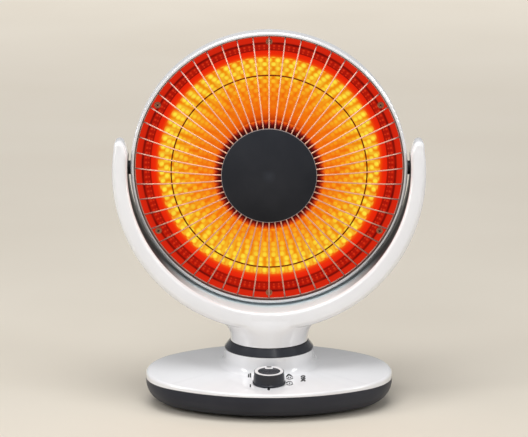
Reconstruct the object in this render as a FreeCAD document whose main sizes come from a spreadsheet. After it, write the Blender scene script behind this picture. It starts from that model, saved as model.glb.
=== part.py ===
import FreeCAD, Part
import math
import os
import re

import Sketcher
from fcgear import fcgear, involute

# A dish heater on an oval base: the head tilts in a two-shell yoke, the yoke swivels on the base.
# Millimetres, +Z up, front towards -Y, origin on the floor under the middle of the oval.

SIZES = {
    "Fits": {
        "overrun": 2.0,
        "seat_gap": 0.2,
        "run_gap": 0.05,
        "part_gap": 0.8,
    },
    "Base oval": {
        "base_half_width": 135.0,
        "base_half_depth": 88.0,
        "base_end_radius": 66.0,
        "foot_height": 4.5,
        "pan_height": 24.5,
        "pan_bottom_inset": 14.0,
        "pan_waist_inset": 3.2,
        "pan_waist_height": 10.0,
        "base_wall": 2.5,
    },
    "Base cover": {
        "cover_axis_height": 39.0,
        "cover_slope": 3.5,
        "cover_front_round": 2.6,
        "cover_rear_round": 6.5,
        "swivel_setback": 23.0,
        "pedestal_radius": 49.3,
        "pedestal_wall": 2.5,
        "pedestal_round": 8.0,
        "collar_seat": 56.0,
        "deck_height": 43.5,
        "deck_thickness": 3.0,
        "hub_radius": 20.0,
        "hub_drop": 3.0,
    },
    "Collar": {
        "collar_height": 8.6,
        "collar_foot_radius": 48.8,
        "collar_top_radius": 43.2,
        "collar_bore": 37.0,
        "collar_plug_depth": 3.5,
        "collar_foot_band": 1.2,
    },
    "Feet and base screws": {
        "foot_radius": 8.0,
        "foot_recess": 1.0,
        "front_foot_across": 70.0,
        "front_foot_along": 34.0,
        "rear_foot_across": 45.0,
        "rear_foot_along": 54.0,
        "screw_across": 62.0,
        "screw_along": 52.0,
        "screw_boss_radius": 4.5,
        "screw_pillar_radius": 6.0,
        "screw_pillar_height": 4.0,
        "screw_radius": 1.6,
        "screw_length": 16.0,
        "screw_head_radius": 3.0,
        "screw_head_height": 2.0,
        "screw_well_radius": 3.6,
    },
    "Knob": {
        "knob_reach": 72.0,
        "knob_lift": 0.6,
        "knob_skirt_radius": 18.0,
        "knob_skirt_height": 2.2,
        "knob_foot_radius": 17.0,
        "knob_top_radius": 16.2,
        "knob_height": 13.0,
        "knob_wall": 2.0,
        "knob_socket_radius": 5.5,
        "knob_ring_outer": 15.6,
        "knob_ring_inner": 12.2,
        "knob_ring_depth": 1.2,
        "knob_ring_proud": 0.4,
        "knob_notch_width": 8.0,
        "knob_notch_length": 4.5,
        "shaft_radius": 3.0,
        "shaft_rise": 9.0,
        "bush_radius": 4.8,
    },
    "Rotary switch": {
        "switch_width": 30.0,
        "switch_depth": 14.0,
        "switch_bush_height": 5.0,
        "switch_tag_width": 4.0,
        "switch_tag_length": 6.0,
        "switch_tag_thickness": 0.8,
    },
    "Swivel drive": {
        "spigot_radius": 36.0,
        "spigot_wall": 2.5,
        "spigot_bottom": 48.0,
        "spigot_lip": 5.5,
        "spigot_lip_height": 2.5,
        "washer_thickness": 1.4,
        "washer_inner": 21.0,
        "washer_outer": 34.0,
        "post_radius": 15.0,
        "post_bore": 10.0,
        "post_bottom": 29.0,
        "post_flange_height": 3.0,
        "post_screw_circle": 30.5,
        "post_screw_count": 3,
        "gear_module": 0.9,
        "gear_teeth": 54,
        "pinion_teeth": 18,
        "pressure_angle": 20.0,
        "gear_face": 6.0,
        "gear_top": 40.2,
        "gear_backlash": 0.25,
        "pinion_face": 7.0,
        "clip_thickness": 1.6,
        "clip_depth": 1.5,
        "clip_reach": 3.0,
        "motor_radius": 25.0,
        "motor_height": 17.0,
        "motor_top": 27.0,
        "motor_boss_radius": 9.0,
        "motor_boss_height": 4.0,
        "motor_shaft_radius": 3.5,
        "motor_ear_span": 58.0,
        "motor_ear_width": 12.0,
        "motor_ear_thickness": 1.5,
    },
    "Tip switch": {
        "tip_across": 62.0,
        "tip_along": 8.0,
        "plunger_radius": 5.0,
        "plunger_travel": 4.0,
        "plunger_length": 18.0,
        "plunger_flange_radius": 7.5,
        "plunger_flange_height": 2.0,
        "tip_body_length": 30.0,
        "tip_body_width": 18.0,
        "tip_body_height": 9.0,
        "tip_leg": 5.0,
    },
    "Mains entry": {
        "gland_height": 14.5,
        "gland_bore": 3.6,
        "gland_body_radius": 5.6,
        "gland_flange_radius": 8.0,
        "gland_flange": 2.0,
        "gland_length": 14.0,
        "terminal_across": 45.0,
        "terminal_along": 34.0,
        "terminal_length": 30.0,
        "terminal_width": 16.0,
        "terminal_height": 12.0,
    },
    "Yoke": {
        "head_gap": 3.0,
        "yoke_thickness": 17.0,
        "yoke_heel_drop": 3.4,
        "yoke_wall": 2.5,
        "yoke_tip_rise": 31.9,
        "yoke_slope_rise": 10.0,
        "yoke_slope_radius": 28.0,
        "yoke_shoulder_rise": 20.0,
        "yoke_shoulder_radius": 60.0,
        "yoke_nose_radius": 5.9,
        "yoke_nose_inner": 4.6,
        "yoke_nose_outer": 2.0,
        "yoke_nose_drop": 2.9,
        "yoke_nose_dip": 3.5,
        "yoke_tip_half_depth": 14.0,
        "yoke_edge_round": 5.4,
        "neck_length": 18.6,
        "neck_radius": 42.7,
        "neck_flare_radius": 30.0,
        "neck_swell": 0.8,
        "neck_overlap": 1.5,
        "neck_room_radius": 37.0,
        "yoke_screw_radius": 1.5,
        "yoke_screw_boss_radius": 4.2,
        "yoke_screw_head_radius": 2.8,
        "yoke_screw_head_height": 1.8,
        "yoke_screw_well_radius": 3.3,
        "yoke_screw_well_depth": 8.0,
        "yoke_screw_bite": 9.0,
        "yoke_screw_high_angle": 24.0,
        "yoke_screw_low_angle": 52.0,
    },
    "Head": {
        "head_radius": 150.6,
        "ring_front": 10.0,
        "ring_back": 10.0,
        "ring_wall": 1.8,
        "ring_lip": 4.0,
        "ring_round": 2.4,
        "shell_wall": 2.2,
        "shell_depth": 62.0,
        "shell_flank": 86.8,
        "shell_curve_radius": 96.0,
        "vent_count": 24,
        "vent_start": 8.0,
        "vent_length": 28.0,
        "vent_width": 4.5,
    },
    "Reflector": {
        "dish_sheet": 0.8,
        "flange_front": 4.0,
        "flange_width": 13.0,
        "dot_band_width": 6.6,
        "dot_band_drop": 4.0,
        "bowl_drop": 6.6,
        "cone_width": 9.7,
        "bowl_rim_drop": 10.3,
        "bowl_depth": 41.0,
        "bowl_lip": 7.5,
        "bowl_floor_radius": 44.5,
        "bowl_curve_radius": 250.0,
        "step_run": 0.6,
        "fixing_count": 6,
        "fixing_inset": 9.3,
        "fixing_boss_radius": 2.8,
        "fixing_screw_radius": 1.5,
        "fixing_screw_length": 9.0,
        "fixing_head_radius": 2.6,
        "fixing_head_height": 1.7,
        "fixing_washer_radius": 3.6,
        "fixing_washer": 0.5,
    },
    "Guard": {
        "wire_count": 52,
        "wire_radius": 0.75,
        "guard_inset": 4.7,
        "guard_ring_wire": 0.9,
        "guard_rise": 36.0,
        "guard_mid_inset": 39.9,
        "guard_inner_inset": 5.0,
        "wire_overhang": 2.0,
        "weld_sink": 0.3,
        "badge_radius": 51.5,
        "badge_edge": 1.8,
        "badge_crown": 1.6,
        "badge_post_radius": 6.0,
        "shield_proud": 8.5,
        "shield_sheet": 1.2,
        "badge_screw_radius": 1.5,
        "badge_screw_bite": 4.0,
    },
    "Heating element": {
        "element_ring_radius": 34.0,
        "element_front": 6.0,
        "element_bend": 9.0,
        "element_gap_angle": 30.0,
        "tube_radius": 5.5,
        "tube_wall": 1.1,
        "filament_radius": 2.4,
        "cap_radius": 7.0,
        "cap_length": 14.0,
        "cap_socket": 8.0,
        "cap_proud": 3.0,
        "holder_inset": 1.0,
        "holder_thickness": 4.0,
        "holder_screw_count": 3,
        "holder_screw_radius": 1.2,
        "holder_head_radius": 2.2,
        "holder_head_height": 1.4,
        "cutout_radius": 8.5,
        "cutout_height": 7.0,
        "cutout_ear_span": 26.0,
        "cutout_ear_width": 7.0,
        "cutout_ear_thickness": 1.0,
        "cutout_offset": 22.0,
    },
    "Tilt pivots": {
        "stud_radius": 4.0,
        "stud_rivet_radius": 3.0,
        "stud_boss_radius": 7.5,
        "stud_tail": 0.8,
        "pivot_clearance": 0.3,
        "pivot_washer_radius": 7.5,
        "pivot_washer": 1.0,
        "pivot_nut_radius": 6.4,
        "pivot_nut": 4.0,
    },
}

# Sizes that follow from the ones above, as expressions of their names.
DERIVED = {
    "parting": "(foot_height + pan_height)",
    "oval_reach": "(base_half_width - base_end_radius)",
    "oval_rise": "(base_half_depth - base_end_radius)",
    "oval_drop": "((oval_reach ^ 2 - oval_rise ^ 2) / (2 * oval_rise))",
    "oval_span": "(oval_drop + oval_rise)",
    "pan_floor": "(foot_height + base_wall)",
    "knob_along": "(swivel_setback - knob_reach)",
    "knob_seat": "(cover_axis_height - knob_reach * tan(cover_slope))",
    "neck_bottom": "(collar_seat + collar_height + part_gap)",
    "gland_wall": "(base_half_depth - pan_waist_inset)",
    "yoke_inner_radius": "(head_radius + head_gap)",
    "yoke_outer_radius": "(yoke_inner_radius + yoke_thickness)",
    "yoke_reach": "(yoke_outer_radius + yoke_heel_drop)",
    "pivot_height": "(neck_bottom + neck_length + yoke_reach)",
    "yoke_mid_radius": "(yoke_inner_radius + yoke_thickness / 2)",
    "drive_spacing": "((gear_teeth + pinion_teeth) * gear_module / 2 + gear_backlash)",
    "shell_radius": "(head_radius - ring_wall)",
    "shell_front": "(flange_front - dish_sheet)",
    "shell_back_radius": "(shell_radius - shell_flank)",
    "vent_inner": "(shell_back_radius + vent_start)",
    "vent_outer": "(vent_inner + vent_length)",
    "ring_lip_radius": "(head_radius - ring_lip)",
    "flange_inner": "(shell_radius - flange_width)",
    "dot_band_inner": "(flange_inner - dot_band_width)",
    "bowl_radius": "(dot_band_inner - cone_width)",
    "bowl_lip_radius": "(bowl_floor_radius + bowl_lip)",
    "fixing_circle": "(shell_radius - fixing_inset)",
    "guard_ring_radius": "(head_radius - guard_inset)",
    "guard_mid_radius": "(guard_ring_radius - guard_mid_inset)",
    "guard_inner_radius": "(badge_radius - guard_inner_inset)",
    "shield_radius": "(badge_radius + shield_proud)",
    "holder_radius": "(bowl_lip_radius - holder_inset)",
    "holder_screw_circle": "(bowl_floor_radius + bowl_lip / 2)",
    "guard_low": "(flange_front + guard_ring_wire)",
    "guard_high": "(guard_low + guard_rise)",
    "dome_centre": "((guard_high ^ 2 + badge_radius ^ 2 - guard_low ^ 2 - guard_ring_radius ^ 2)"
                   " / (2 * guard_rise))",
    "dome_radius": "sqrt(badge_radius ^ 2 + (guard_high - dome_centre) ^ 2)",
    "wire_end_radius": "(guard_inner_radius - wire_overhang)",
    "lip_back": "(guard_low + sqrt(guard_ring_wire ^ 2 - (ring_lip_radius - guard_ring_radius) ^ 2))",
    "badge_back": "(dome_centre + sqrt(dome_radius ^ 2 - wire_end_radius ^ 2) + wire_radius)",
    "shield_reach": "sqrt(dome_radius ^ 2 - shield_radius ^ 2)",
    "shield_front": "(dome_centre + shield_reach - wire_radius * dome_radius / shield_reach)",
    "cap_front": "(bowl_floor + cap_proud)",
    "leg_across": "(element_ring_radius * sin(element_gap_angle) - element_bend * cos(element_gap_angle))",
    "leg_up": "(-element_ring_radius * cos(element_gap_angle) - element_bend * sin(element_gap_angle))",
    "boss_end": "(yoke_inner_radius - pivot_clearance)",
    "washer_seat": "(yoke_inner_radius + yoke_wall + pivot_clearance)",
    "bowl_floor": "(flange_front - bowl_depth)",
}

# How the neck's section grows from a circle into the arms, from its foot to its top.
FLARE_SHARES = (0.0, 0.25, 0.5, 0.75, 1.0)
FLARE_SQUARE_SHARES = (1.0, 0.9, 0.76, 0.62, 0.5)
FLARE_DEPTH_SHARES = (0.0, 0.4, 1.0, -0.2, -2.6)
POLE_COUNT = 16
CUBIC = 3

doc = FreeCAD.newDocument("carbon_heater")
sizes = doc.addObject("Spreadsheet::Sheet", "sizes")
NODES = []
AXES = {
    "x": FreeCAD.Rotation(FreeCAD.Vector(0, 1, 0), 90),
    "y": FreeCAD.Rotation(FreeCAD.Vector(-1, 0, 0), 90),
    "z": FreeCAD.Rotation(),
    "-x": FreeCAD.Rotation(FreeCAD.Vector(0, 1, 0), -90),
}
POST_RING = ("post_screw_circle", "post_screw_count")
HOLDER_RING = ("-holder_screw_circle", "holder_screw_count")
THIRD_SHARES = (-1 / 3, 0.0, 1 / 3)
EDGE_SHARES = (0.0, 0.3, 0.7)
FACING_FRONT = FreeCAD.Rotation(FreeCAD.Vector(1, 0, 0), 90)
WORD = re.compile(r"[a-z][a-z0-9_]*")


def fill_sheet():
    row = 1
    for heading, values in SIZES.items():
        sizes.set(f"A{row}", heading)
        row += 1
        for alias, number in values.items():
            sizes.set(f"A{row}", alias.replace("_", " "))
            sizes.set(f"B{row}", str(number))
            sizes.setAlias(f"B{row}", alias)
            row += 1
    doc.recompute()


ALIASES = {alias for values in SIZES.values() for alias in values}


def bound(text):
    """The expression with every size's name pointed at its cell."""

    def swap(match):
        word = match.group()
        if word in DERIVED:
            return bound(DERIVED[word])
        return f"sizes.{word}" if word in ALIASES else word

    return WORD.sub(swap, text)


def value(text):
    """The expression's present value."""
    return float(sizes.evalExpression(bound(text)))


def bind(thing, path, text):
    thing.setExpression(path, bound(text))


def place(thing, at, turn=None):
    """Put a thing at a point given in expressions, turned by a fixed rotation."""
    thing.Placement = FreeCAD.Placement(FreeCAD.Vector(), turn or FreeCAD.Rotation())
    for letter, text in zip("xyz", at):
        bind(thing, f"Placement.Base.{letter}", text)
    return thing


def add(kind, label):
    thing = doc.addObject(kind, label)
    thing.Label = label
    return thing


def node(thing, label):
    """Name a finished sub-part, which gets a file of its own."""
    thing.Label = label
    NODES.append(thing)
    return thing


def rod(label, radius, length, at, along="z"):
    thing = add("Part::Cylinder", label)
    bind(thing, "Radius", radius)
    bind(thing, "Height", length)
    return place(thing, at, AXES[along])


def block(label, lengths, corner):
    thing = add("Part::Box", label)
    for side, text in zip(("Length", "Width", "Height"), lengths):
        bind(thing, side, text)
    return place(thing, corner)


def fuse(label, *members):
    thing = add("Part::MultiFuse", label)
    thing.Shapes = members
    return thing


def group(label, *members):
    thing = add("Part::Compound", label)
    thing.Links = members
    return thing


def cut(label, base, *tools):
    thing = add("Part::Cut", label)
    thing.Base = base
    thing.Tool = tools[0] if len(tools) == 1 else fuse(f"{label}_tools", *tools)
    return thing


def common(label, first, second):
    thing = add("Part::Common", label)
    thing.Base = first
    thing.Tool = second
    return thing


def rounded(label, base, pick, start, end=None):
    """Round the edges that pick() chooses; pick gives 0 to 1 for each end of a changing radius."""
    doc.recompute()
    edges = []
    for number, edge in enumerate(base.Shape.Edges, 1):
        ends = pick(edge)
        if ends is None:
            continue
        first, last = (start + ((end or start) - start) * share for share in ends)
        edges.append((number, first, last))
    thing = add("Part::Fillet", label)
    thing.Base = base
    thing.Edges = edges
    return thing


def new_body(label):
    thing = add("PartDesign::Body", label)
    thing.AllowCompound = True
    return thing


def sketch_on(body, role, name, level="0"):
    plane = next(feature for feature in body.Origin.OriginFeatures if feature.Role == role)
    sketch = body.newObject("Sketcher::SketchObject", name)
    sketch.AttachmentSupport = [(plane, "")]
    sketch.MapMode = "FlatFace"
    bind(sketch, "AttachmentOffset.Base.z", level)
    return sketch


def hold(sketch, kind, geometry, end, text):
    """Hold one coordinate of a sketch point at an expression."""
    if text == "0":
        axis = -2 if kind == "DistanceX" else -1
        sketch.addConstraint(Sketcher.Constraint("PointOnObject", geometry, end, axis))
        return
    number = sketch.addConstraint(Sketcher.Constraint(kind, -1, 1, geometry, end, value(text)))
    bind(sketch, f"Constraints[{number}]", text)


def arc_between(start, end, radius, left):
    """The arc shorter than half a turn that bends left or right from start to end."""
    chord = end - start
    middle = (start + end) * 0.5
    rise = math.sqrt(max(radius ** 2 - (chord.Length / 2) ** 2, 0))
    side = FreeCAD.Vector(-chord.y, chord.x, 0).normalize() * (rise if left else -rise)
    centre = middle + side
    circle = Part.Circle(centre, FreeCAD.Vector(0, 0, 1), radius)
    first, last = (start, end) if left else (end, start)
    angles = [math.atan2(point.y - centre.y, point.x - centre.x) for point in (first, last)]
    return Part.ArcOfCircle(circle, *angles)


def outline(body, role, name, corners, level="0"):
    """A closed outline. A corner is (across, up), or (across, up, bend, radius) after an arc."""
    sketch = sketch_on(body, role, name, level)
    points = [FreeCAD.Vector(value(corner[0]), value(corner[1]), 0) for corner in corners]
    ends = []
    for index, corner in enumerate(corners):
        start, end = points[index - 1], points[index]
        if len(corner) == 2:
            geometry = sketch.addGeometry(Part.LineSegment(start, end))
            ends.append((geometry, 1, 2))
            continue
        left = corner[2] == "left"
        geometry = sketch.addGeometry(arc_between(start, end, value(corner[3]), left))
        ends.append((geometry, 1, 2) if left else (geometry, 2, 1))
        number = sketch.addConstraint(Sketcher.Constraint("Radius", geometry, value(corner[3])))
        bind(sketch, f"Constraints[{number}]", corner[3])
    for index, corner in enumerate(corners):
        geometry, _, tail = ends[index]
        following, head, _ = ends[(index + 1) % len(ends)]
        sketch.addConstraint(Sketcher.Constraint("Coincident", geometry, tail, following, head))
        hold(sketch, "DistanceX", geometry, tail, corner[0])
        hold(sketch, "DistanceY", geometry, tail, corner[1])
    return sketch


def circle(body, role, name, across, up, radius, level="0"):
    sketch = sketch_on(body, role, name, level)
    centre = FreeCAD.Vector(value(across), value(up), 0)
    geometry = sketch.addGeometry(Part.Circle(centre, FreeCAD.Vector(0, 0, 1), value(radius)))
    hold(sketch, "DistanceX", geometry, 3, across)
    hold(sketch, "DistanceY", geometry, 3, up)
    number = sketch.addConstraint(Sketcher.Constraint("Radius", geometry, value(radius)))
    bind(sketch, f"Constraints[{number}]", radius)
    return sketch


def revolve(body, sketch, name, kind="PartDesign::Revolution"):
    feature = body.newObject(kind, name)
    feature.Profile = sketch
    feature.ReferenceAxis = (sketch, ["V_Axis"])
    feature.Angle = 360
    return feature


def around(body, feature, name, count):
    """Repeat a feature evenly round the body's Z axis."""
    axis = next(item for item in body.Origin.OriginFeatures if item.Role == "Z_Axis")
    pattern = body.newObject("PartDesign::PolarPattern", name)
    pattern.Originals = [feature]
    pattern.Axis = (axis, [""])
    pattern.Angle = 360
    bind(pattern, "Occurrences", count)
    body.Tip = pattern
    return pattern


def pad(body, sketch, name, length, midplane=False):
    feature = body.newObject("PartDesign::Pad", name)
    feature.Profile = sketch
    feature.SideType = "Symmetric" if midplane else "One side"
    bind(feature, "Length", length)
    return feature


def spun(label, corners, at=("0", "0", "0"), turn=None):
    """A turned piece: an outline in radius and height, spun about its own Z axis."""
    body = new_body(label)
    revolve(body, outline(body, "XZ_Plane", f"{label}_profile", corners), f"{label}_turned")
    return place(body, at, turn)


def pegs(label, radius, low, length, ring="fixing_circle", count="fixing_count"):
    """Round pegs spaced evenly on a circle about Z, the first of them on the Y axis."""
    body = new_body(label)
    foot = circle(body, "XY_Plane", f"{label}_circle", "0", ring, radius, low)
    around(body, pad(body, foot, f"{label}_peg", length), f"{label}_ring", count)
    return body


def in_head(thing):
    """Set a piece modelled about the dish's axis into the head, facing front."""
    return place(thing, ("0", "swivel_setback", "pivot_height"), FACING_FRONT)


def mirrored_places(across, along):
    """A place in each quarter of the base."""
    return [(f"{side}{across}", f"{end}{along}") for side in ("", "-") for end in ("", "-")]


def foot_places():
    """The front pair of feet stands wide apart; the rear pair stands back, below the head's weight."""
    front = [(f"{side}front_foot_across", "-front_foot_along") for side in ("", "-")]
    return front + [(f"{side}rear_foot_across", "rear_foot_along") for side in ("", "-")]


def oval(body, name, inset, level):
    """The base's four-arc oval, drawn in by an inset, at a height."""
    end_radius = f"(base_end_radius - ({inset}))"
    side_radius = f"(base_end_radius + oval_span - ({inset}))"
    across = f"(oval_reach + {end_radius} * oval_reach / oval_span)"
    along = f"({end_radius} * oval_drop / oval_span)"
    corners = [
        (across, f"-{along}", "left", side_radius),
        (across, along, "left", end_radius),
        (f"-{across}", along, "left", side_radius),
        (f"-{across}", f"-{along}", "left", end_radius),
    ]
    return outline(body, "XY_Plane", name, corners, level)


def pan_loft(body, kind, name, inset, bottom):
    sections = [
        oval(body, f"{name}_floor", f"pan_bottom_inset + {inset}", bottom),
        oval(body, f"{name}_waist", f"pan_waist_inset + {inset}", "foot_height + pan_waist_height"),
        oval(body, f"{name}_rim", inset, "parting"),
    ]
    loft = body.newObject(kind, name)
    loft.Profile = sections[0]
    loft.Sections = sections[1:]
    return loft


def base_pan():
    body = new_body("pan_tub")
    pan_loft(body, "PartDesign::AdditiveLoft", "pan_outside", "0", "foot_height")
    pan_loft(body, "PartDesign::SubtractiveLoft", "pan_inside", "base_wall", "pan_floor")
    pillars = []
    wells = []
    for index, (across, along) in enumerate(mirrored_places("screw_across", "screw_along")):
        at = (across, along, "pan_floor - overrun / 2")
        pillars.append(rod(f"pan_pillar_{index}", "screw_pillar_radius", "screw_pillar_height", at))
        low = (across, along, "foot_height - overrun")
        wells.append(rod(f"pan_well_{index}", "screw_well_radius", "overrun + screw_pillar_height", low))
        wells.append(rod(f"pan_screw_hole_{index}", "screw_radius + seat_gap", "pan_height", low))
    for index, (across, along) in enumerate(foot_places()):
        low = (across, along, "foot_height - overrun")
        wells.append(rod(f"pan_foot_recess_{index}", "foot_radius", "overrun + foot_recess", low))
    wells.append(rod("pan_plunger_hole", "plunger_radius + run_gap", "pan_height",
                     ("tip_across", "tip_along", "foot_height - overrun")))
    wells.append(rod("pan_gland_hole", "gland_body_radius", "base_half_depth",
                     ("0", "base_half_depth / 2", "gland_height"), "y"))
    wells.append(rod("pan_gland_seat", "gland_flange_radius", "base_half_depth",
                     ("0", "gland_wall + part_gap", "gland_height"), "y"))
    return node(cut("base_pan", fuse("pan_with_pillars", body, *pillars), *wells), "base_pan")


def cover_plate(label, inset, drop):
    """The cover's wedge: the oval, cut off by the sloping top."""
    body = new_body(f"{label}_prism")
    pad(body, oval(body, f"{label}_oval", inset, "parting"), f"{label}_pad", "collar_seat")
    top = f"cover_axis_height - ({drop})"
    front = "(base_half_depth + overrun + swivel_setback)"
    rear = "(base_half_depth + overrun - swivel_setback)"
    side = new_body(f"{label}_side")
    corners = [
        (f"swivel_setback - {front}", "parting - overrun"),
        (f"swivel_setback + {rear}", "parting - overrun"),
        (f"swivel_setback + {rear}", f"{top} + {rear} * tan(cover_slope)"),
        (f"swivel_setback - {front}", f"{top} - {front} * tan(cover_slope)"),
    ]
    pad(side, outline(side, "YZ_Plane", f"{label}_slope", corners), f"{label}_slab",
        "2 * base_half_width + 2 * overrun", True)
    return common(label, body, side)


def rim_ends(edge):
    """Ends of a top rim edge, 0 at the front of the oval and 1 at its back; None for other edges."""
    if edge.BoundBox.ZMin < value("parting + overrun / 2"):
        return None
    turn = value("base_end_radius * oval_drop / oval_span")
    return [1.0 if edge.valueAt(at).y > turn / 2 else 0.0 for at in edge.ParameterRange]


def pedestal_ends(edge):
    """The edge where the pedestal stands on the sloping top."""
    middle = FreeCAD.Vector(0, value("swivel_setback"), 0)
    reach = value("pedestal_radius")
    first, last = edge.ParameterRange
    for share in EDGE_SHARES:
        point = edge.valueAt(first + (last - first) * share)
        away = FreeCAD.Vector(point.x, point.y, 0) - middle
        if abs(away.Length - reach) > reach / 1000 or point.z > value("collar_seat - overrun"):
            return None
    return None if edge.BoundBox.ZLength > reach / 5 else (0.0, 0.0)


def base_cover():
    rim = rounded("cover_rim", cover_plate("cover_wedge", "0", "0"), rim_ends,
                  value("cover_front_round"), value("cover_rear_round"))
    axis = ("0", "swivel_setback", "parting")
    pedestal = rod("pedestal", "pedestal_radius", "collar_seat - parting", axis)
    outside = rounded("cover_outside", fuse("cover_mass", rim, pedestal), pedestal_ends,
                      value("pedestal_round"))
    inside = cover_plate("cover_hollow", "base_wall", "base_wall")
    under = rod("pedestal_hollow", "pedestal_radius - pedestal_wall", "deck_height - parting", axis)
    hub = rod("deck_hub", "hub_radius", "hub_drop + overrun",
              ("0", "swivel_setback", "deck_height - hub_drop"))
    hollow = cut("cover_cavity", fuse("cover_room", inside, under), hub)
    well = rod("collar_well", "pedestal_radius - pedestal_wall", "collar_seat",
               ("0", "swivel_setback", "deck_height + deck_thickness"))
    bore = rod("post_bore", "post_radius + run_gap", "collar_seat", ("0", "swivel_setback", "0"))
    shell = cut("cover_shell", outside, hollow, well, bore)
    bosses = []
    holes = []
    for index, (across, along) in enumerate(mirrored_places("screw_across", "screw_along")):
        top = f"cover_axis_height + ({along} - swivel_setback) * tan(cover_slope) - base_wall / 2"
        low = "pan_floor + screw_pillar_height - overrun / 2"
        bosses.append(rod(f"cover_boss_{index}", "screw_boss_radius", f"{top} - ({low})",
                          (across, along, low)))
        holes.append(rod(f"cover_boss_hole_{index}", "screw_radius", "screw_length",
                         (across, along, low)))
    holes.append(rod("cover_bush_hole", "bush_radius + seat_gap", "collar_seat",
                     ("0", "knob_along", "0")))
    return node(cut("base_cover", fuse("cover_with_bosses", shell, *bosses), *holes), "base_cover")


def collar_ring():
    corners = [
        ("collar_bore", "-collar_plug_depth"),
        ("pedestal_radius - pedestal_wall - seat_gap", "-collar_plug_depth"),
        ("pedestal_radius - pedestal_wall - seat_gap", "0"),
        ("collar_foot_radius", "0"),
        ("collar_foot_radius", "collar_foot_band"),
        ("collar_top_radius", "collar_height"),
        ("collar_bore", "collar_height"),
    ]
    at = ("0", "swivel_setback", "collar_seat")
    return node(spun("collar_ring", corners, at), "collar_ring")


def feet():
    members = [
        rod(f"foot_{index}", "foot_radius", "foot_height + foot_recess", (across, along, "0"))
        for index, (across, along) in enumerate(foot_places())
    ]
    return node(group("rubber_feet", *members), "rubber_feet")


def screw_corners(radius, length, head_radius, head_height):
    """A pan-head screw that points up, with its head's underside at zero."""
    return [
        ("0", f"-{head_height}"),
        (f"{head_radius} - {head_height} / 3", f"-{head_height}"),
        (head_radius, f"-{head_height} / 2"),
        (head_radius, "0"),
        (radius, "0"),
        (radius, length),
        ("0", length),
    ]


def base_screws():
    corners = screw_corners("screw_radius", "screw_length", "screw_head_radius", "screw_head_height")
    seat = "foot_height + screw_pillar_height"
    members = [
        spun(f"base_screw_{index}", corners, (across, along, seat))
        for index, (across, along) in enumerate(mirrored_places("screw_across", "screw_along"))
    ]
    return node(group("base_screws", *members), "base_screws")


def in_panel(thing):
    """Set a piece modelled about the knob's axis into the sloping panel."""
    tilt = FreeCAD.Rotation(FreeCAD.Vector(1, 0, 0), value("cover_slope"))
    place(thing, ("0", "knob_along", "knob_seat"), tilt)
    bind(thing, "Placement.Rotation.Angle", "cover_slope")
    return thing


def knob():
    top = "knob_lift + knob_height"
    corners = [
        ("shaft_radius", "knob_lift + knob_wall"),
        ("knob_socket_radius", "knob_lift + knob_wall"),
        ("knob_socket_radius", f"{top} - knob_wall - knob_ring_depth"),
        ("knob_foot_radius - knob_wall", f"{top} - knob_wall - knob_ring_depth"),
        ("knob_foot_radius - knob_wall", "knob_lift"),
        ("knob_skirt_radius", "knob_lift"),
        ("knob_skirt_radius", "knob_lift + knob_skirt_height / 2"),
        ("knob_foot_radius", "knob_lift + knob_skirt_height"),
        ("knob_top_radius", top),
        ("knob_ring_outer", top),
        ("knob_ring_outer", f"{top} - knob_ring_depth"),
        ("knob_ring_inner", f"{top} - knob_ring_depth"),
        ("knob_ring_inner", top),
        ("0", top),
        ("0", "knob_lift + shaft_rise"),
        ("shaft_radius", "knob_lift + shaft_rise"),
    ]
    turned = spun("knob_turned", corners)
    notch = block("knob_notch", ("knob_notch_width", "knob_notch_length", "knob_ring_depth + overrun"),
                  ("-knob_notch_width / 2", "knob_ring_inner - knob_notch_length",
                   f"{top} - knob_ring_depth"))
    body = in_panel(cut("control_knob", turned, notch))
    ring = spun("ring_turned", [
        ("knob_ring_inner", f"{top} - knob_ring_depth"),
        ("knob_ring_outer", f"{top} - knob_ring_depth"),
        ("knob_ring_outer", f"{top} + knob_ring_proud / 2"),
        ("knob_ring_outer - knob_ring_proud / 2", f"{top} + knob_ring_proud"),
        ("knob_ring_inner", f"{top} + knob_ring_proud / 2"),
    ])
    pointer = block("knob_pointer", ("knob_notch_width", "knob_notch_length + overrun", "knob_ring_depth"),
                    ("-knob_notch_width / 2", "knob_ring_inner - knob_notch_length",
                     f"{top} - knob_ring_depth"))
    node(body, "control_knob")
    node(in_panel(fuse("knob_ring", ring, pointer)), "knob_ring")
    shaft = spun("shaft_turned", [
        ("0", "-switch_bush_height - switch_depth / 2"),
        ("shaft_radius", "-switch_bush_height - switch_depth / 2"),
        ("shaft_radius", "knob_lift + shaft_rise"),
        ("0", "knob_lift + shaft_rise"),
    ])
    node(in_panel(shaft), "switch_shaft")


def rotary_switch():
    half = "switch_width / 2"
    low = "-base_wall - switch_depth"
    case = block("switch_case", ("switch_width", "switch_width", "switch_depth"),
                 (f"-{half}", f"-{half}", low))
    bush = rod("switch_bush", "bush_radius", "base_wall + overrun", ("0", "0", "-base_wall - overrun"))
    tags = [
        block(f"switch_tag_{index}", ("switch_tag_width", "switch_tag_thickness", "switch_tag_length"),
              (f"{share} * switch_width - switch_tag_width / 2", "0", f"{low} - switch_tag_length + overrun"))
        for index, share in enumerate(THIRD_SHARES)
    ]
    bore = rod("switch_bore", "shaft_radius + run_gap", "switch_bush_height + switch_depth",
               ("0", "0", "-switch_bush_height - switch_depth / 2 - overrun"))
    body = cut("rotary_switch", fuse("switch_mass", case, bush, *tags), bore)
    return node(in_panel(body), "rotary_switch")


def thrust_washer():
    corners = [
        ("washer_inner", "0"),
        ("washer_outer", "0"),
        ("washer_outer", "washer_thickness"),
        ("washer_inner", "washer_thickness"),
    ]
    at = ("0", "swivel_setback", "deck_height + deck_thickness")
    return node(spun("thrust_washer", corners, at), "thrust_washer")


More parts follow.
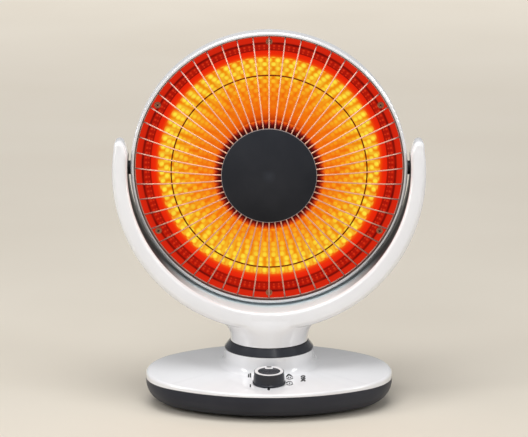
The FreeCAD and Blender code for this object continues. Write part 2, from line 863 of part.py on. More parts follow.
def swivel_post():
    """The hollow axle: a flange held in the yoke's spigot, and a tube down through the deck."""
    flange = "spigot_bottom + spigot_lip_height"
    top = f"{flange} + post_flange_height"
    groove = "gear_top - gear_face"
    corners = [
        ("post_bore", "post_bottom"),
        ("post_radius", "post_bottom"),
        ("post_radius", f"{groove} - clip_thickness"),
        ("post_radius - clip_depth", f"{groove} - clip_thickness"),
        ("post_radius - clip_depth", groove),
        ("post_radius", groove),
        ("post_radius", flange),
        ("spigot_radius - spigot_wall - seat_gap", flange),
        ("spigot_radius - spigot_wall - seat_gap", top),
        ("post_bore", top),
    ]
    drills = pegs("post_drills", "screw_radius", flange, "post_flange_height", *POST_RING)
    body = cut("swivel_post", spun("post_turned", corners), drills)
    return node(place(body, ("0", "swivel_setback", "0")), "swivel_post")


def post_screws():
    top = "spigot_bottom + spigot_lip_height + post_flange_height"
    shanks = pegs("post_shanks", "screw_radius", "spigot_bottom", f"{top} - spigot_bottom", *POST_RING)
    heads = pegs("post_heads", "screw_head_radius", top, "screw_head_height", *POST_RING)
    screws = fuse("post_screws", shanks, heads)
    return node(place(screws, ("0", "swivel_setback", "0")), "post_screws")


def toothed(label, teeth, bore, face, at, turn_teeth):
    """A spur gear with involute teeth, turned by a share of one tooth."""
    builder = fcgear.FCWireBuilder()
    involute.CreateExternalGear(builder, value("gear_module"), int(value(teeth)),
                                value("pressure_angle"), True)
    rim = Part.Wire([curve.toShape() for curve in builder.wire])
    blank = Part.Face(rim).extrude(FreeCAD.Vector(0, 0, value(face)))
    hole = Part.makeCylinder(value(bore), value(face))
    thing = add("Part::Feature", label)
    thing.Shape = blank.cut(hole)
    spin = FreeCAD.Rotation(FreeCAD.Vector(0, 0, 1), 360 * turn_teeth / value(teeth))
    return place(thing, at, spin)


def post_clip():
    groove = "gear_top - gear_face"
    corners = [
        ("post_radius - clip_depth", f"{groove} - clip_thickness"),
        ("post_radius + clip_reach", f"{groove} - clip_thickness"),
        ("post_radius + clip_reach", groove),
        ("post_radius - clip_depth", groove),
    ]
    ring = spun("clip_turned", corners)
    slot = block("clip_slot", ("post_radius", "2 * (post_radius + clip_reach) ", "clip_reach + overrun"),
                 ("-post_radius / 2", "-2 * (post_radius + clip_reach)", f"{groove} - clip_reach"))
    return node(place(cut("post_clip", ring, slot), ("0", "swivel_setback", "0")), "post_clip")


def swivel_gears():
    gear_at = ("0", "swivel_setback", "gear_top - gear_face")
    node(toothed("swivel_gear", "gear_teeth", "post_radius", "gear_face", gear_at, 0.0), "swivel_gear")
    pinion_at = ("-drive_spacing", "swivel_setback", "gear_top - (gear_face + pinion_face) / 2")
    pinion = toothed("drive_pinion", "pinion_teeth", "motor_shaft_radius", "pinion_face", pinion_at, 0.5)
    node(pinion, "drive_pinion")


def swivel_motor():
    """A flat synchronous gear motor; its shaft carries the pinion."""
    at = ("-drive_spacing", "swivel_setback")
    can = rod("motor_can", "motor_radius", "motor_height", (*at, "motor_top - motor_height"))
    boss = rod("motor_boss", "motor_boss_radius", "motor_boss_height", (*at, "motor_top"))
    ears = block("motor_ears", ("motor_ear_width", "motor_ear_span", "motor_ear_thickness"),
                 ("-drive_spacing - motor_ear_width / 2", "swivel_setback - motor_ear_span / 2",
                  "motor_top - motor_ear_thickness"))
    legs = [
        rod(f"motor_leg_{index}", "motor_ear_width / 3", "motor_top - motor_ear_thickness - pan_floor",
            ("-drive_spacing", f"swivel_setback {sign} (motor_ear_span / 2 - motor_ear_width / 3)",
             "pan_floor"))
        for index, sign in enumerate("+-")
    ]
    bore = rod("motor_bore", "motor_shaft_radius + run_gap", "motor_height",
               (*at, "motor_top - motor_height / 4"))
    node(cut("swivel_motor", fuse("motor_mass", can, boss, ears, *legs), bore), "swivel_motor")
    shaft = rod("motor_shaft", "motor_shaft_radius", "gear_top - motor_top + motor_height / 4",
                (*at, "motor_top - motor_height / 4"))
    node(shaft, "motor_shaft")


def tip_switch():
    """A plunger through the pan's floor that the floor holds up, and the switch that it works."""
    flange = "pan_floor + plunger_travel"
    corners = [
        ("0", "0"),
        ("plunger_radius - run_gap", "0"),
        ("plunger_radius - run_gap", flange),
        ("plunger_flange_radius", flange),
        ("plunger_flange_radius", f"{flange} + plunger_flange_height"),
        ("plunger_radius - run_gap", f"{flange} + plunger_flange_height"),
        ("plunger_radius - run_gap", "plunger_length"),
        ("0", "plunger_length"),
    ]
    node(spun("tip_plunger", corners, ("tip_across", "tip_along", "0")), "tip_plunger")
    low = f"{flange} + plunger_flange_height + part_gap"
    corner = ("tip_across - tip_body_length / 2", "tip_along - tip_body_width / 2")
    case = block("tip_case", ("tip_body_length", "tip_body_width", "tip_body_height"), (*corner, low))
    legs = [
        block(f"tip_leg_{index}", ("tip_leg", "tip_body_width", f"{low} - pan_floor"),
              (f"tip_across {place_of}", "tip_along - tip_body_width / 2", "pan_floor"))
        for index, place_of in enumerate(("- tip_body_length / 2", "+ tip_body_length / 2 - tip_leg"))
    ]
    bore = rod("tip_bore", "plunger_radius", "tip_body_height - part_gap", ("tip_across", "tip_along", low))
    return node(cut("tip_switch", fuse("tip_mass", case, *legs), bore), "tip_switch")


def mains_entry():
    corners = [
        ("gland_bore", "gland_wall + gland_flange - gland_length"),
        ("gland_body_radius", "gland_wall + gland_flange - gland_length"),
        ("gland_body_radius", "gland_wall + part_gap"),
        ("gland_flange_radius", "gland_wall + part_gap"),
        ("gland_flange_radius", "gland_wall + gland_flange - part_gap"),
        ("gland_flange_radius - part_gap", "gland_wall + gland_flange"),
        ("gland_bore", "gland_wall + gland_flange"),
    ]
    node(spun("cord_gland", corners, ("0", "0", "gland_height"), AXES["y"]), "cord_gland")
    lengths = ("terminal_length", "terminal_width", "terminal_height")
    corner = ("terminal_across - terminal_length / 2", "-terminal_along - terminal_width / 2", "pan_floor")
    slab = block("terminal_slab", lengths, corner)
    wells = [
        rod(f"terminal_well_{index}", "terminal_length / 10", "terminal_height",
            (f"terminal_across + {share} * terminal_length", "-terminal_along",
             "pan_floor + terminal_height / 2"))
        for index, share in enumerate(THIRD_SHARES)
    ]
    node(cut("terminal_block", slab, *wells), "terminal_block")


def arm_outline(body, name, inset):
    """The yoke's front view: a ring open at the top, with sloping rounded tips."""
    inner = f"(yoke_inner_radius + {inset})"
    outer = f"(yoke_outer_radius - {inset})"
    slope = f"(yoke_slope_rise - {inset})"
    shoulder = f"(yoke_shoulder_rise - 3 * {inset})"
    nose = f"pivot_height + yoke_tip_rise - yoke_nose_drop - 3 * {inset}"
    slope_across = f"sqrt({inner} ^ 2 - {slope} ^ 2)"
    shoulder_across = f"sqrt({outer} ^ 2 - ({shoulder} + yoke_heel_drop) ^ 2)"
    heel = f"pivot_height - yoke_heel_drop - {outer}"
    dipped = f"{nose} - yoke_nose_dip"
    nose_inner = f"({inner} + yoke_nose_inner)"
    nose_outer = f"({outer} - yoke_nose_outer)"
    corners = [
        ("0", f"pivot_height - {inner}", "right", inner),
        (f"-{slope_across}", f"pivot_height + {slope}", "right", inner),
        (f"-{nose_inner}", nose, "left", "yoke_slope_radius"),
        (f"-{nose_outer}", dipped, "left", "yoke_nose_radius"),
        (f"-{shoulder_across}", f"pivot_height + {shoulder}", "left", "yoke_shoulder_radius"),
        ("0", heel, "left", outer),
        (shoulder_across, f"pivot_height + {shoulder}", "left", outer),
        (nose_outer, dipped, "left", "yoke_shoulder_radius"),
        (nose_inner, nose, "left", "yoke_nose_radius"),
        (slope_across, f"pivot_height + {slope}", "left", "yoke_slope_radius"),
    ]
    return outline(body, "XZ_Plane", name, corners, "-swivel_setback")


def arm_side(body, name, inset):
    """The yoke's side view: as deep as the neck at the foot, slimmer towards the tips."""
    foot = f"(neck_radius - {inset})"
    tip = f"(yoke_tip_half_depth - {inset})"
    low = "pivot_height - yoke_reach"
    high = "pivot_height + yoke_tip_rise"
    corners = [
        (f"swivel_setback - {foot}", low),
        (f"swivel_setback + {foot}", low),
        (f"swivel_setback + {tip}", high),
        (f"swivel_setback - {tip}", high),
    ]
    return outline(body, "YZ_Plane", name, corners)


def arm_edge_ends(edge):
    """The arms' front and back edges, and not the edges across."""
    middle = value("swivel_setback")
    if edge.BoundBox.YMin < middle < edge.BoundBox.YMax:
        return None
    return (0.0, 0.0)


def arms(label, inset, softened):
    front = new_body(f"{label}_front")
    pad(front, arm_outline(front, f"{label}_outline", inset), f"{label}_pad",
        "2 * neck_radius + overrun", True)
    side = new_body(f"{label}_side")
    pad(side, arm_side(side, f"{label}_profile", inset), f"{label}_slab",
        "2 * yoke_outer_radius + overrun", True)
    block_out = common(f"{label}_block", front, side)
    if not softened:
        return block_out
    return rounded(label, block_out, arm_edge_ends, value("yoke_edge_round"))


def skin(rings):
    """A solid with a smooth cubic side through closed rings of poles, and flat ends."""
    count = len(rings)
    poles = [[ring[index] for ring in rings] for index in range(POLE_COUNT)]
    round_knots = list(range(POLE_COUNT + 1))
    long_knots = list(range(count - CUBIC + 1))
    long_turns = [CUBIC + 1] + [1] * (count - CUBIC - 1) + [CUBIC + 1]
    surface = Part.BSplineSurface()
    surface.buildFromPolesMultsKnots(poles, [1] * (POLE_COUNT + 1), long_turns, round_knots, long_knots,
                                     True, False, CUBIC, CUBIC)
    ends = [surface.vIso(bound_at) for bound_at in surface.bounds()[2:]]
    faces = [surface.toShape()] + [Part.Face(Part.Wire([end.toShape()])) for end in ends]
    shell = Part.Shell(faces)
    shell.sewShape()
    solid = Part.Solid(shell)
    if solid.Volume < 0:
        solid.reverse()
    return solid


def neck(label):
    """The neck: round at its foot, flaring sideways until it runs into the arms' underside."""
    foot = value("neck_radius")
    flare = value("neck_flare_radius")
    reach = value("yoke_outer_radius") + flare
    drop = math.sqrt(reach ** 2 - (foot + flare) ** 2)
    start = value("pivot_height - yoke_heel_drop") - drop
    turn = math.asin(drop / reach)
    bottom = value("neck_bottom")
    rows = [(bottom, foot, foot, 1.0), ((bottom + start) / 2, foot, foot, 1.0)]
    for share, square, swelling in zip(FLARE_SHARES, FLARE_SQUARE_SHARES, FLARE_DEPTH_SHARES):
        angle = turn * share
        depth = foot + value("neck_swell") * swelling
        rows.append((start + flare * math.sin(angle), foot + flare * (1 - math.cos(angle)), depth, square))
    height, width, depth, square = rows[-1]
    rows.append((height + value("neck_overlap"), width, depth, square))
    swell = 3 / (2 + math.cos(2 * math.pi / POLE_COUNT))
    rings = []
    for height, width, depth, square in rows:
        ring = []
        for index in range(POLE_COUNT):
            angle = 2 * math.pi * (index + 0.5) / POLE_COUNT
            across = math.copysign(abs(math.cos(angle)) ** square, math.cos(angle))
            along = math.copysign(abs(math.sin(angle)) ** square, math.sin(angle))
            ring.append(FreeCAD.Vector(width * swell * across, depth * swell * along, height))
        rings.append(ring)
    thing = add("Part::Feature", label)
    thing.Shape = skin(rings)
    return place(thing, ("0", "swivel_setback", "0"))


def yoke_screw_places():
    """Where the screws cross the parting plane, from the pivots down each arm."""
    return [
        (f"{side}yoke_mid_radius * cos({angle})", f"pivot_height - yoke_mid_radius * sin({angle})")
        for side in ("", "-")
        for angle in ("yoke_screw_high_angle", "yoke_screw_low_angle")
    ]


def half_depth_at(height):
    """The yoke's half depth at a height, by its side view's straight line."""
    foot = "(pivot_height - yoke_reach)"
    share = f"((({height}) - {foot}) / (yoke_reach + yoke_tip_rise))"
    return f"(neck_radius + (yoke_tip_half_depth - neck_radius) * {share})"


def yoke():
    axis_at = ("0", "swivel_setback")
    spigot = rod("spigot", "spigot_radius", "neck_bottom + yoke_wall - spigot_bottom",
                 (*axis_at, "spigot_bottom"))
    mass = fuse("yoke_mass", arms("arms", "0", True), neck("neck"), spigot)
    spigot_room = rod("spigot_room", "spigot_radius - spigot_wall",
                      "neck_bottom + yoke_wall + overrun - spigot_bottom",
                      (*axis_at, "spigot_bottom + spigot_lip_height"))
    lip_hole = rod("lip_hole", "spigot_radius - spigot_wall - spigot_lip", "spigot_bottom",
                   (*axis_at, "spigot_bottom - overrun"))
    neck_room = rod("neck_room", "neck_room_radius", "pivot_height - yoke_mid_radius - neck_bottom",
                    (*axis_at, "neck_bottom + yoke_wall"))
    room = fuse("yoke_room", arms("arm_room", "yoke_wall", False), neck_room, spigot_room, lip_hole)
    bosses = []
    holes = []
    screws = []
    for index, (across, up) in enumerate(yoke_screw_places()):
        start = "swivel_setback - neck_radius"
        bosses.append(rod(f"yoke_boss_{index}", "yoke_screw_boss_radius", "2 * neck_radius",
                          (across, start, up), "y"))
        seat = f"{half_depth_at(up)} - yoke_screw_well_depth"
        holes.append(rod(f"yoke_screw_well_{index}", "yoke_screw_well_radius", "neck_radius",
                         (across, f"swivel_setback + {seat}", up), "y"))
        holes.append(rod(f"yoke_screw_hole_{index}", "yoke_screw_radius",
                         f"{seat} + yoke_screw_bite + overrun",
                         (across, "swivel_setback - yoke_screw_bite", up), "y"))
        corners = screw_corners("yoke_screw_radius", f"{seat} + yoke_screw_bite", "yoke_screw_head_radius",
                                "yoke_screw_head_height")
        screws.append(spun(f"yoke_screw_{index}", corners, (across, f"swivel_setback + {seat}", up),
                           FACING_FRONT))
    pivots = rod("pivot_hole", "stud_radius + run_gap", "2 * yoke_mid_radius",
                 ("-yoke_mid_radius", "swivel_setback", "pivot_height"), "x")
    drills = pegs("lip_drills", "screw_radius", "spigot_bottom - overrun", "spigot_lip_height + 2 * overrun",
                  *POST_RING)
    holes.append(place(drills, (*axis_at, "0")))
    shell = cut("yoke_shell", mass, cut("yoke_hollow", room, *bosses), pivots, *holes)
    front = block("yoke_front_half",
                  ("2 * yoke_outer_radius + 2 * overrun", "2 * neck_radius", "2 * pivot_height"),
                  ("-yoke_outer_radius - overrun", "swivel_setback - 2 * neck_radius", "0"))
    node(common("yoke_front_shell", shell, front), "yoke_front_shell")
    node(cut("yoke_rear_shell", shell, front), "yoke_rear_shell")
    node(group("yoke_screws", *screws), "yoke_screws")


def stud_holes(label):
    return rod(label, "stud_rivet_radius", "2 * head_radius + 2 * overrun",
               ("-head_radius - overrun", "swivel_setback", "pivot_height"), "x")


def trim_ring():
    """The bright band round the head; its front lip holds the guard and the reflector in the shell."""
    corners = [
        ("head_radius - ring_wall", "-ring_back"),
        ("head_radius", "-ring_back"),
        ("head_radius", "ring_front - ring_round"),
        ("head_radius - ring_round", "ring_front", "left", "ring_round"),
        ("ring_lip_radius", "ring_front"),
        ("ring_lip_radius", "lip_back"),
        ("head_radius - ring_wall", "lip_back"),
    ]
    band = in_head(spun("ring_band", corners))
    return node(cut("trim_ring", band, stud_holes("ring_stud_holes")), "trim_ring")


def shell_corners(inset, front):
    """The bowl of the rear shell, outside or inside its wall, as a filled half section."""
    radius = f"(shell_radius - {inset})"
    back = f"(shell_back_radius - {inset} / 2)"
    depth = f"(shell_depth - {inset})"
    return [
        ("0", front),
        ("0", f"-{depth}"),
        (back, f"-{depth}"),
        (radius, "-ring_back", "left", f"(shell_curve_radius - {inset})"),
        (radius, front),
    ]


def vent_slot(body):
    """One vent of the rear shell: a slot with round ends, pointing outwards."""
    half = "vent_width / 2"
    corners = [
        (half, f"vent_outer - {half}"),
        ("0", "vent_outer", "left", half),
        (f"-{half}", f"vent_outer - {half}", "left", half),
        (f"-{half}", f"vent_inner + {half}"),
        ("0", "vent_inner", "left", half),
        (half, f"vent_inner + {half}", "left", half),
    ]
    return outline(body, "XY_Plane", "vent_slot", corners, "-shell_depth - overrun")


def rear_shell():
    outside = spun("shell_outside", shell_corners("0", "shell_front"))
    inside = spun("shell_inside", shell_corners("shell_wall", "shell_front + overrun"))
    bosses = pegs("shell_bosses", "fixing_boss_radius", "shell_front - shell_depth", "shell_depth")
    drills = pegs("shell_pilots", "fixing_screw_radius", "shell_front - fixing_screw_length",
                  "fixing_screw_length + overrun")
    vents = new_body("shell_vents")
    around(vents, pad(vents, vent_slot(vents), "vent", "shell_depth / 2"), "vent_ring", "vent_count")
    bowl = in_head(cut("shell_bowl", outside, cut("shell_room", inside, bosses), drills, vents))
    return node(cut("rear_shell", bowl, stud_holes("shell_stud_holes")), "rear_shell")


def reflector():
    """The spun dish: a flat flange, a band for small dots, a cone and the deep bowl."""
    dot_band = "(flange_front - dot_band_drop)"
    cone = "(flange_front - bowl_drop)"
    bowl = "(flange_front - bowl_rim_drop)"
    front = [
        ("shell_radius", "flange_front"),
        ("flange_inner", "flange_front"),
        ("flange_inner - step_run", dot_band),
        ("dot_band_inner", dot_band),
        ("dot_band_inner - step_run", cone),
        ("bowl_radius", bowl),
        ("bowl_lip_radius", "bowl_floor", "right", "bowl_curve_radius"),
        ("bowl_floor_radius", "bowl_floor"),
    ]
    back = [
        ("bowl_floor_radius", "bowl_floor - dish_sheet"),
        ("bowl_lip_radius", "bowl_floor - dish_sheet"),
        ("bowl_radius + dish_sheet / 2", f"{bowl} - dish_sheet", "left", "(bowl_curve_radius + dish_sheet)"),
        ("dot_band_inner - step_run + dish_sheet", f"{cone} - dish_sheet"),
        ("dot_band_inner + dish_sheet", f"{dot_band} - dish_sheet"),
        ("flange_inner - step_run + dish_sheet", f"{dot_band} - dish_sheet"),
        ("flange_inner + dish_sheet", "flange_front - dish_sheet"),
        ("shell_radius", "flange_front - dish_sheet"),
    ]
    dish = spun("reflector_dish", front + back)
    holes = pegs("reflector_holes", "fixing_screw_radius", "flange_front - overrun", "2 * overrun")
    drills = pegs("lip_screw_holes", "holder_screw_radius", "bowl_floor - overrun", "2 * overrun",
                  *HOLDER_RING)
    return node(in_head(cut("reflector", dish, holes, drills)), "reflector")


def reflector_fixings():
    seat = "flange_front + fixing_washer"
    washers = pegs("washer_blanks", "fixing_washer_radius", "flange_front", "fixing_washer")
    bore = pegs("washer_bores", "fixing_screw_radius", "flange_front - overrun",
                "fixing_washer + 2 * overrun")
    node(in_head(cut("reflector_washers", washers, bore)), "reflector_washers")
    shanks = pegs("screw_shanks", "fixing_screw_radius", f"{seat} - fixing_screw_length",
                  "fixing_screw_length")
    heads = pegs("screw_heads", "fixing_head_radius", seat, "fixing_head_height")
    node(in_head(fuse("reflector_screws", shanks, heads)), "reflector_screws")


def bent_rod(label, radius, bend, sweep, at, start, onward):
    """A round rod bent to an arc about a point, from one direction on towards another."""
    thing = add("Part::Torus", label)
    bind(thing, "Radius1", bend)
    bind(thing, "Radius2", radius)
    bind(thing, "Angle3", sweep)
    return place(thing, at, FreeCAD.Rotation(start, onward, start.cross(onward), "ZXY"))


def wire_guard():
    """Radial wires bent to a dome, welded to an outer, a middle and an inner ring."""
    first = "asin(wire_end_radius / dome_radius)"
    sweep = f"asin(guard_ring_radius / dome_radius) - {first}"
    lean = math.radians(value(first))
    forward = FreeCAD.Vector(0, 0, 1)
    count = int(value("wire_count"))
    wires = []
    for index in range(count):
        angle = 2 * math.pi * index / count
        outward = FreeCAD.Vector(math.sin(angle), math.cos(angle), 0)
        start = outward * math.sin(lean) + forward * math.cos(lean)
        onward = outward * math.cos(lean) - forward * math.sin(lean)
        wires.append(bent_rod(f"guard_wire_{index}", "wire_radius", "dome_radius", sweep,
                              ("0", "0", "dome_centre"), start, onward))
    across = FreeCAD.Vector(1, 0, 0)
    up = FreeCAD.Vector(0, 1, 0)
    rim_at = ("0", "0", "guard_low")
    rings = [bent_rod("guard_rim", "guard_ring_wire", "guard_ring_radius", "360", rim_at, across, up)]
    for name in ("mid", "inner"):
        radius = f"guard_{name}_radius"
        level = f"dome_centre + sqrt(dome_radius ^ 2 - {radius} ^ 2) - 2 * wire_radius + weld_sink"
        rings.append(bent_rod(f"guard_{name}", "wire_radius", radius, "360", ("0", "0", level), across, up))
    return node(in_head(fuse("wire_guard", *wires, *rings)), "wire_guard")


def hub():
    """The disc before the element: a moulded cap and a sheet behind the wires, drawn together by a screw."""
    edge = "badge_back + badge_edge"
    bite = "shield_front + badge_screw_bite"
    crown_radius = "((badge_radius ^ 2 + badge_crown ^ 2) / (2 * badge_crown))"
    cap = spun("hub_cap", [
        ("badge_screw_radius", "shield_front"),
        ("badge_post_radius", "shield_front"),
        ("badge_post_radius", "badge_back"),
        ("badge_radius", "badge_back"),
        ("badge_radius", edge),
        ("0", f"{edge} + badge_crown", "left", crown_radius),
        ("0", bite),
        ("badge_screw_radius", bite),
    ])
    node(in_head(cap), "hub_cap")
    shield = spun("heat_shield", [
        ("badge_screw_radius", "shield_front - shield_sheet"),
        ("shield_radius", "shield_front - shield_sheet"),
        ("shield_radius", "shield_front"),
        ("badge_screw_radius", "shield_front"),
    ])
    node(in_head(shield), "heat_shield")
    corners = screw_corners("badge_screw_radius", "shield_sheet + badge_screw_bite",
                            "fixing_head_radius", "fixing_head_height")
    at = ("0", "swivel_setback - shield_front + shield_sheet", "pivot_height")
    node(spun("hub_screw", corners, at, FACING_FRONT), "hub_screw")


def element_path(label, radius):
    """A rod along the element: a ring open at the bottom, whose ends bend back to two legs."""
    gap = math.radians(value("element_gap_angle"))
    forward = FreeCAD.Vector(0, 0, 1)
    start = FreeCAD.Vector(math.sin(gap), -math.cos(gap), 0)
    members = [bent_rod(f"{label}_ring", radius, "element_ring_radius", "360 - 2 * element_gap_angle",
                        ("0", "0", "element_front"), start, FreeCAD.Vector(math.cos(gap), math.sin(gap), 0))]
    bend_low = "element_front - element_bend"
    foot = "cap_front - cap_socket"
    for side, sign in (("right", ""), ("left", "-")):
        turned = -1 if sign else 1
        onward = FreeCAD.Vector(-turned * math.cos(gap), -math.sin(gap), 0)
        at = (f"{sign}element_ring_radius * sin(element_gap_angle)",
              "-element_ring_radius * cos(element_gap_angle)", bend_low)
        members.append(bent_rod(f"{label}_bend_{side}", radius, "element_bend", "90", at, forward, onward))
        members.append(rod(f"{label}_leg_{side}", radius, f"{bend_low} - ({foot})",
                           (f"{sign}leg_across", "leg_up", foot)))
    return fuse(label, *members)


def element():
    tube = cut("carbon_tube", element_path("tube_outside", "tube_radius"),
               element_path("tube_inside", "tube_radius - tube_wall"))
    node(in_head(tube), "carbon_tube")
    node(in_head(element_path("carbon_filament", "filament_radius")), "carbon_filament")
    back = "cap_front - cap_length"
    caps = []
    sockets = []
    bores = []
    for side, sign in (("right", ""), ("left", "-")):
        at = (f"{sign}leg_across", "leg_up")
        caps.append(rod(f"cap_{side}", "cap_radius", "cap_length", (*at, back)))
        sockets.append(rod(f"cap_socket_{side}", "tube_radius", "cap_length",
                           (*at, "cap_front - cap_socket")))
        bores.append(rod(f"holder_bore_{side}", "cap_radius", "cap_length", (*at, back)))
    node(in_head(cut("tube_caps", group("cap_blanks", *caps), *sockets)), "tube_caps")
    seat = "bowl_floor - dish_sheet"
    disc = rod("holder_disc", "holder_radius", "holder_thickness", ("0", "0", f"{seat} - holder_thickness"))
    pilots = pegs("holder_pilots", "holder_screw_radius", f"{seat} - holder_thickness", "holder_thickness",
                  *HOLDER_RING)
    node(in_head(cut("element_holder", disc, *bores, pilots)), "element_holder")
    length = "dish_sheet + holder_thickness"
    shanks = pegs("holder_shanks", "holder_screw_radius", f"bowl_floor - ({length})", length, *HOLDER_RING)
    heads = pegs("holder_heads", "holder_head_radius", "bowl_floor", "holder_head_height", *HOLDER_RING)
    node(in_head(fuse("holder_screws", shanks, heads)), "holder_screws")


def thermal_cutout():
    seat = "bowl_floor - dish_sheet - holder_thickness"
    can = rod("cutout_can", "cutout_radius", "cutout_height",
              ("0", "cutout_offset", f"{seat} - cutout_height"))
    ears = block("cutout_ears", ("cutout_ear_span", "cutout_ear_width", "cutout_ear_thickness"),
                 ("-cutout_ear_span / 2", "cutout_offset - cutout_ear_width / 2",
                  f"{seat} - cutout_ear_thickness"))
    return node(in_head(fuse("thermal_cutout", can, ears)), "thermal_cutout")


def tilt_pivots():
    at = ("0", "swivel_setback", "pivot_height")
    tail = "shell_radius - shell_wall - stud_tail"
    end = "washer_seat + pivot_washer + pivot_nut + stud_tail"
    stud = [
        ("0", tail),
        ("stud_rivet_radius", tail),
        ("stud_rivet_radius", "head_radius"),
        ("stud_boss_radius", "head_radius"),
        ("stud_boss_radius", "boss_end"),
        ("stud_radius", "boss_end"),
        ("stud_radius", end),
        ("0", end),
    ]
    washer = [
        ("stud_radius", "washer_seat"),
        ("pivot_washer_radius", "washer_seat"),
        ("pivot_washer_radius", "washer_seat + pivot_washer"),
        ("stud_radius", "washer_seat + pivot_washer"),
    ]
    washers = []
    nuts = []
    for side, along, sign in (("right", "x", ""), ("left", "-x", "-")):
        node(spun(f"pivot_stud_{side}", stud, at, AXES[along]), f"pivot_stud_{side}")
        washers.append(spun(f"pivot_washer_{side}", washer, at, AXES[along]))
        blank = add("Part::Prism", f"pivot_nut_blank_{side}")
        blank.Polygon = 6
        bind(blank, "Circumradius", "pivot_nut_radius")
        bind(blank, "Height", "pivot_nut")
        seat = (f"{sign}(washer_seat + pivot_washer)", "swivel_setback", "pivot_height")
        place(blank, seat, AXES[along])
        nuts.append(cut(f"pivot_nut_{side}", blank, rod(f"pivot_nut_bore_{side}", "stud_radius", "pivot_nut",
                                                        seat, along)))
    node(group("pivot_washers", *washers), "pivot_washers")
    node(group("pivot_nuts", *nuts), "pivot_nuts")


fill_sheet()
base_pan()
base_cover()
collar_ring()
feet()
base_screws()
knob()
rotary_switch()
thrust_washer()
swivel_post()
post_screws()
post_clip()
swivel_gears()
swivel_motor()
tip_switch()
mains_entry()
yoke()
trim_ring()
rear_shell()
reflector()
reflector_fixings()
wire_guard()
hub()
element()
thermal_cutout()
tilt_pivots()
doc.recompute()

for thing in doc.Objects:
    if "Invalid" in thing.State or "Error" in thing.State:
        raise RuntimeError(f"{thing.Label} did not build: {thing.State}")

os.makedirs("parts", exist_ok=True)
for thing in NODES:
    shape = thing.Shape
    if shape.isNull() or not shape.isValid() or not shape.Solids:
        raise RuntimeError(f"{thing.Label} is not a valid solid")
    shape.exportStep(f"parts/{thing.Label}.step")
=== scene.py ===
# %% [markdown]
# # A dish heater in a swivelling yoke
# The solids come first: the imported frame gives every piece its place, in metres, with the floor at zero.
# Blender only adds what the eye needs, which here is soft moulded plastic, bright wire and a glowing dish.
# Sizes of the heater are written in millimetres, and MM turns them into Blender's metres.

# %% Load the frame
import math

import bmesh
import bpy
from mathutils import Matrix, Vector
from mathutils.bvhtree import BVHTree


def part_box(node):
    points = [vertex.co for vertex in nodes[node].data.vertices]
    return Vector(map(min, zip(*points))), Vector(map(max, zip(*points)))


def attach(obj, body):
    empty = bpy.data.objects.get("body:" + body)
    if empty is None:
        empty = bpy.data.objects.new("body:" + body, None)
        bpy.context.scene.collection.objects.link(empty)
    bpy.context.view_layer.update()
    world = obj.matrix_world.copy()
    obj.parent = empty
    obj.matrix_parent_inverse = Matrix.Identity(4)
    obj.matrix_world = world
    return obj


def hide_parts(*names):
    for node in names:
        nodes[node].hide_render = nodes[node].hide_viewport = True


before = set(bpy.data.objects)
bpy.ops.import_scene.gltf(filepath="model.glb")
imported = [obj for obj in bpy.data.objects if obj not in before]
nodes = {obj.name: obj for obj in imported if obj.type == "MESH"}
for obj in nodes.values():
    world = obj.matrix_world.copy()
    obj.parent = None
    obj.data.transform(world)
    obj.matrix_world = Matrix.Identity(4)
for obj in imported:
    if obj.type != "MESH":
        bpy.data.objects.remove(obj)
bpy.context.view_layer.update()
MM = 0.001

# %% [markdown]
# The camera stands where the photographer stood: straight in front, a little above the dish, and far away.
# A long lens keeps the dish round. The dish's centre has its own place in the picture. A lens shift could
# put it there, but aiming the camera a touch past the centre does the same with one setting less.

# %% Camera
SWIVEL_Y = 23 * MM
PIVOT_HEIGHT = 258 * MM
DISH_CENTRE = Vector((0.0, SWIVEL_Y, PIVOT_HEIGHT))
PICTURE = (528, 437)
DISH_PIXEL = (269.2, 167.3)
FOCAL_PIXELS = 3214.0
SENSOR = 36.0
CAMERA_RISE = math.radians(12.0)
CAMERA_AWAY = 3.5

scene = bpy.context.scene
scene.view_settings.view_transform = "Standard"
camera_data = bpy.data.cameras.new("camera")
camera_data.sensor_fit = "HORIZONTAL"
camera_data.sensor_width = SENSOR
camera_data.lens = FOCAL_PIXELS * SENSOR / PICTURE[0]
camera = bpy.data.objects.new("camera", camera_data)
scene.collection.objects.link(camera)
camera.location = DISH_CENTRE + CAMERA_AWAY * Vector((0, -math.cos(CAMERA_RISE), math.sin(CAMERA_RISE)))
pitch = CAMERA_RISE + math.atan((PICTURE[1] / 2 - DISH_PIXEL[1]) / FOCAL_PIXELS)
yaw = math.atan((DISH_PIXEL[0] - PICTURE[0] / 2) / FOCAL_PIXELS)
camera.rotation_euler = (math.pi / 2 - pitch, 0, yaw)
scene.camera = camera
print("camera at", tuple(round(v, 3) for v in camera.location), "lens", round(camera_data.lens, 1))

# %% [markdown]
# White mouldings need something to reflect, and a shape only shows where its tone changes. The strongest
# lamp hangs overhead, a little in front, so the base's top is bright and upright faces are a step darker.
# Two weaker ones stand near the camera, and two tall narrow ones light the edges from the sides. The world
# itself stays dim, so the gap round the head goes dark.

# %% Studio lamps
LAMPS = {
    "key_lamp": {"place": (-0.7, -1.9, 1.8), "size": (1.2, 1.0), "power": 11},
    "fill_lamp": {"place": (0.9, -2.1, 1.2), "size": (0.9, 1.0), "power": 4},
    "top_lamp": {"place": (-0.1, -0.4, 2.1), "size": (1.6, 1.2), "power": 30},
    "left_lamp": {"place": (-1.45, -0.6, 0.85), "size": (0.3, 1.0), "power": 8},
    "right_lamp": {"place": (1.45, -0.6, 0.85), "size": (0.3, 1.0), "power": 7},
}


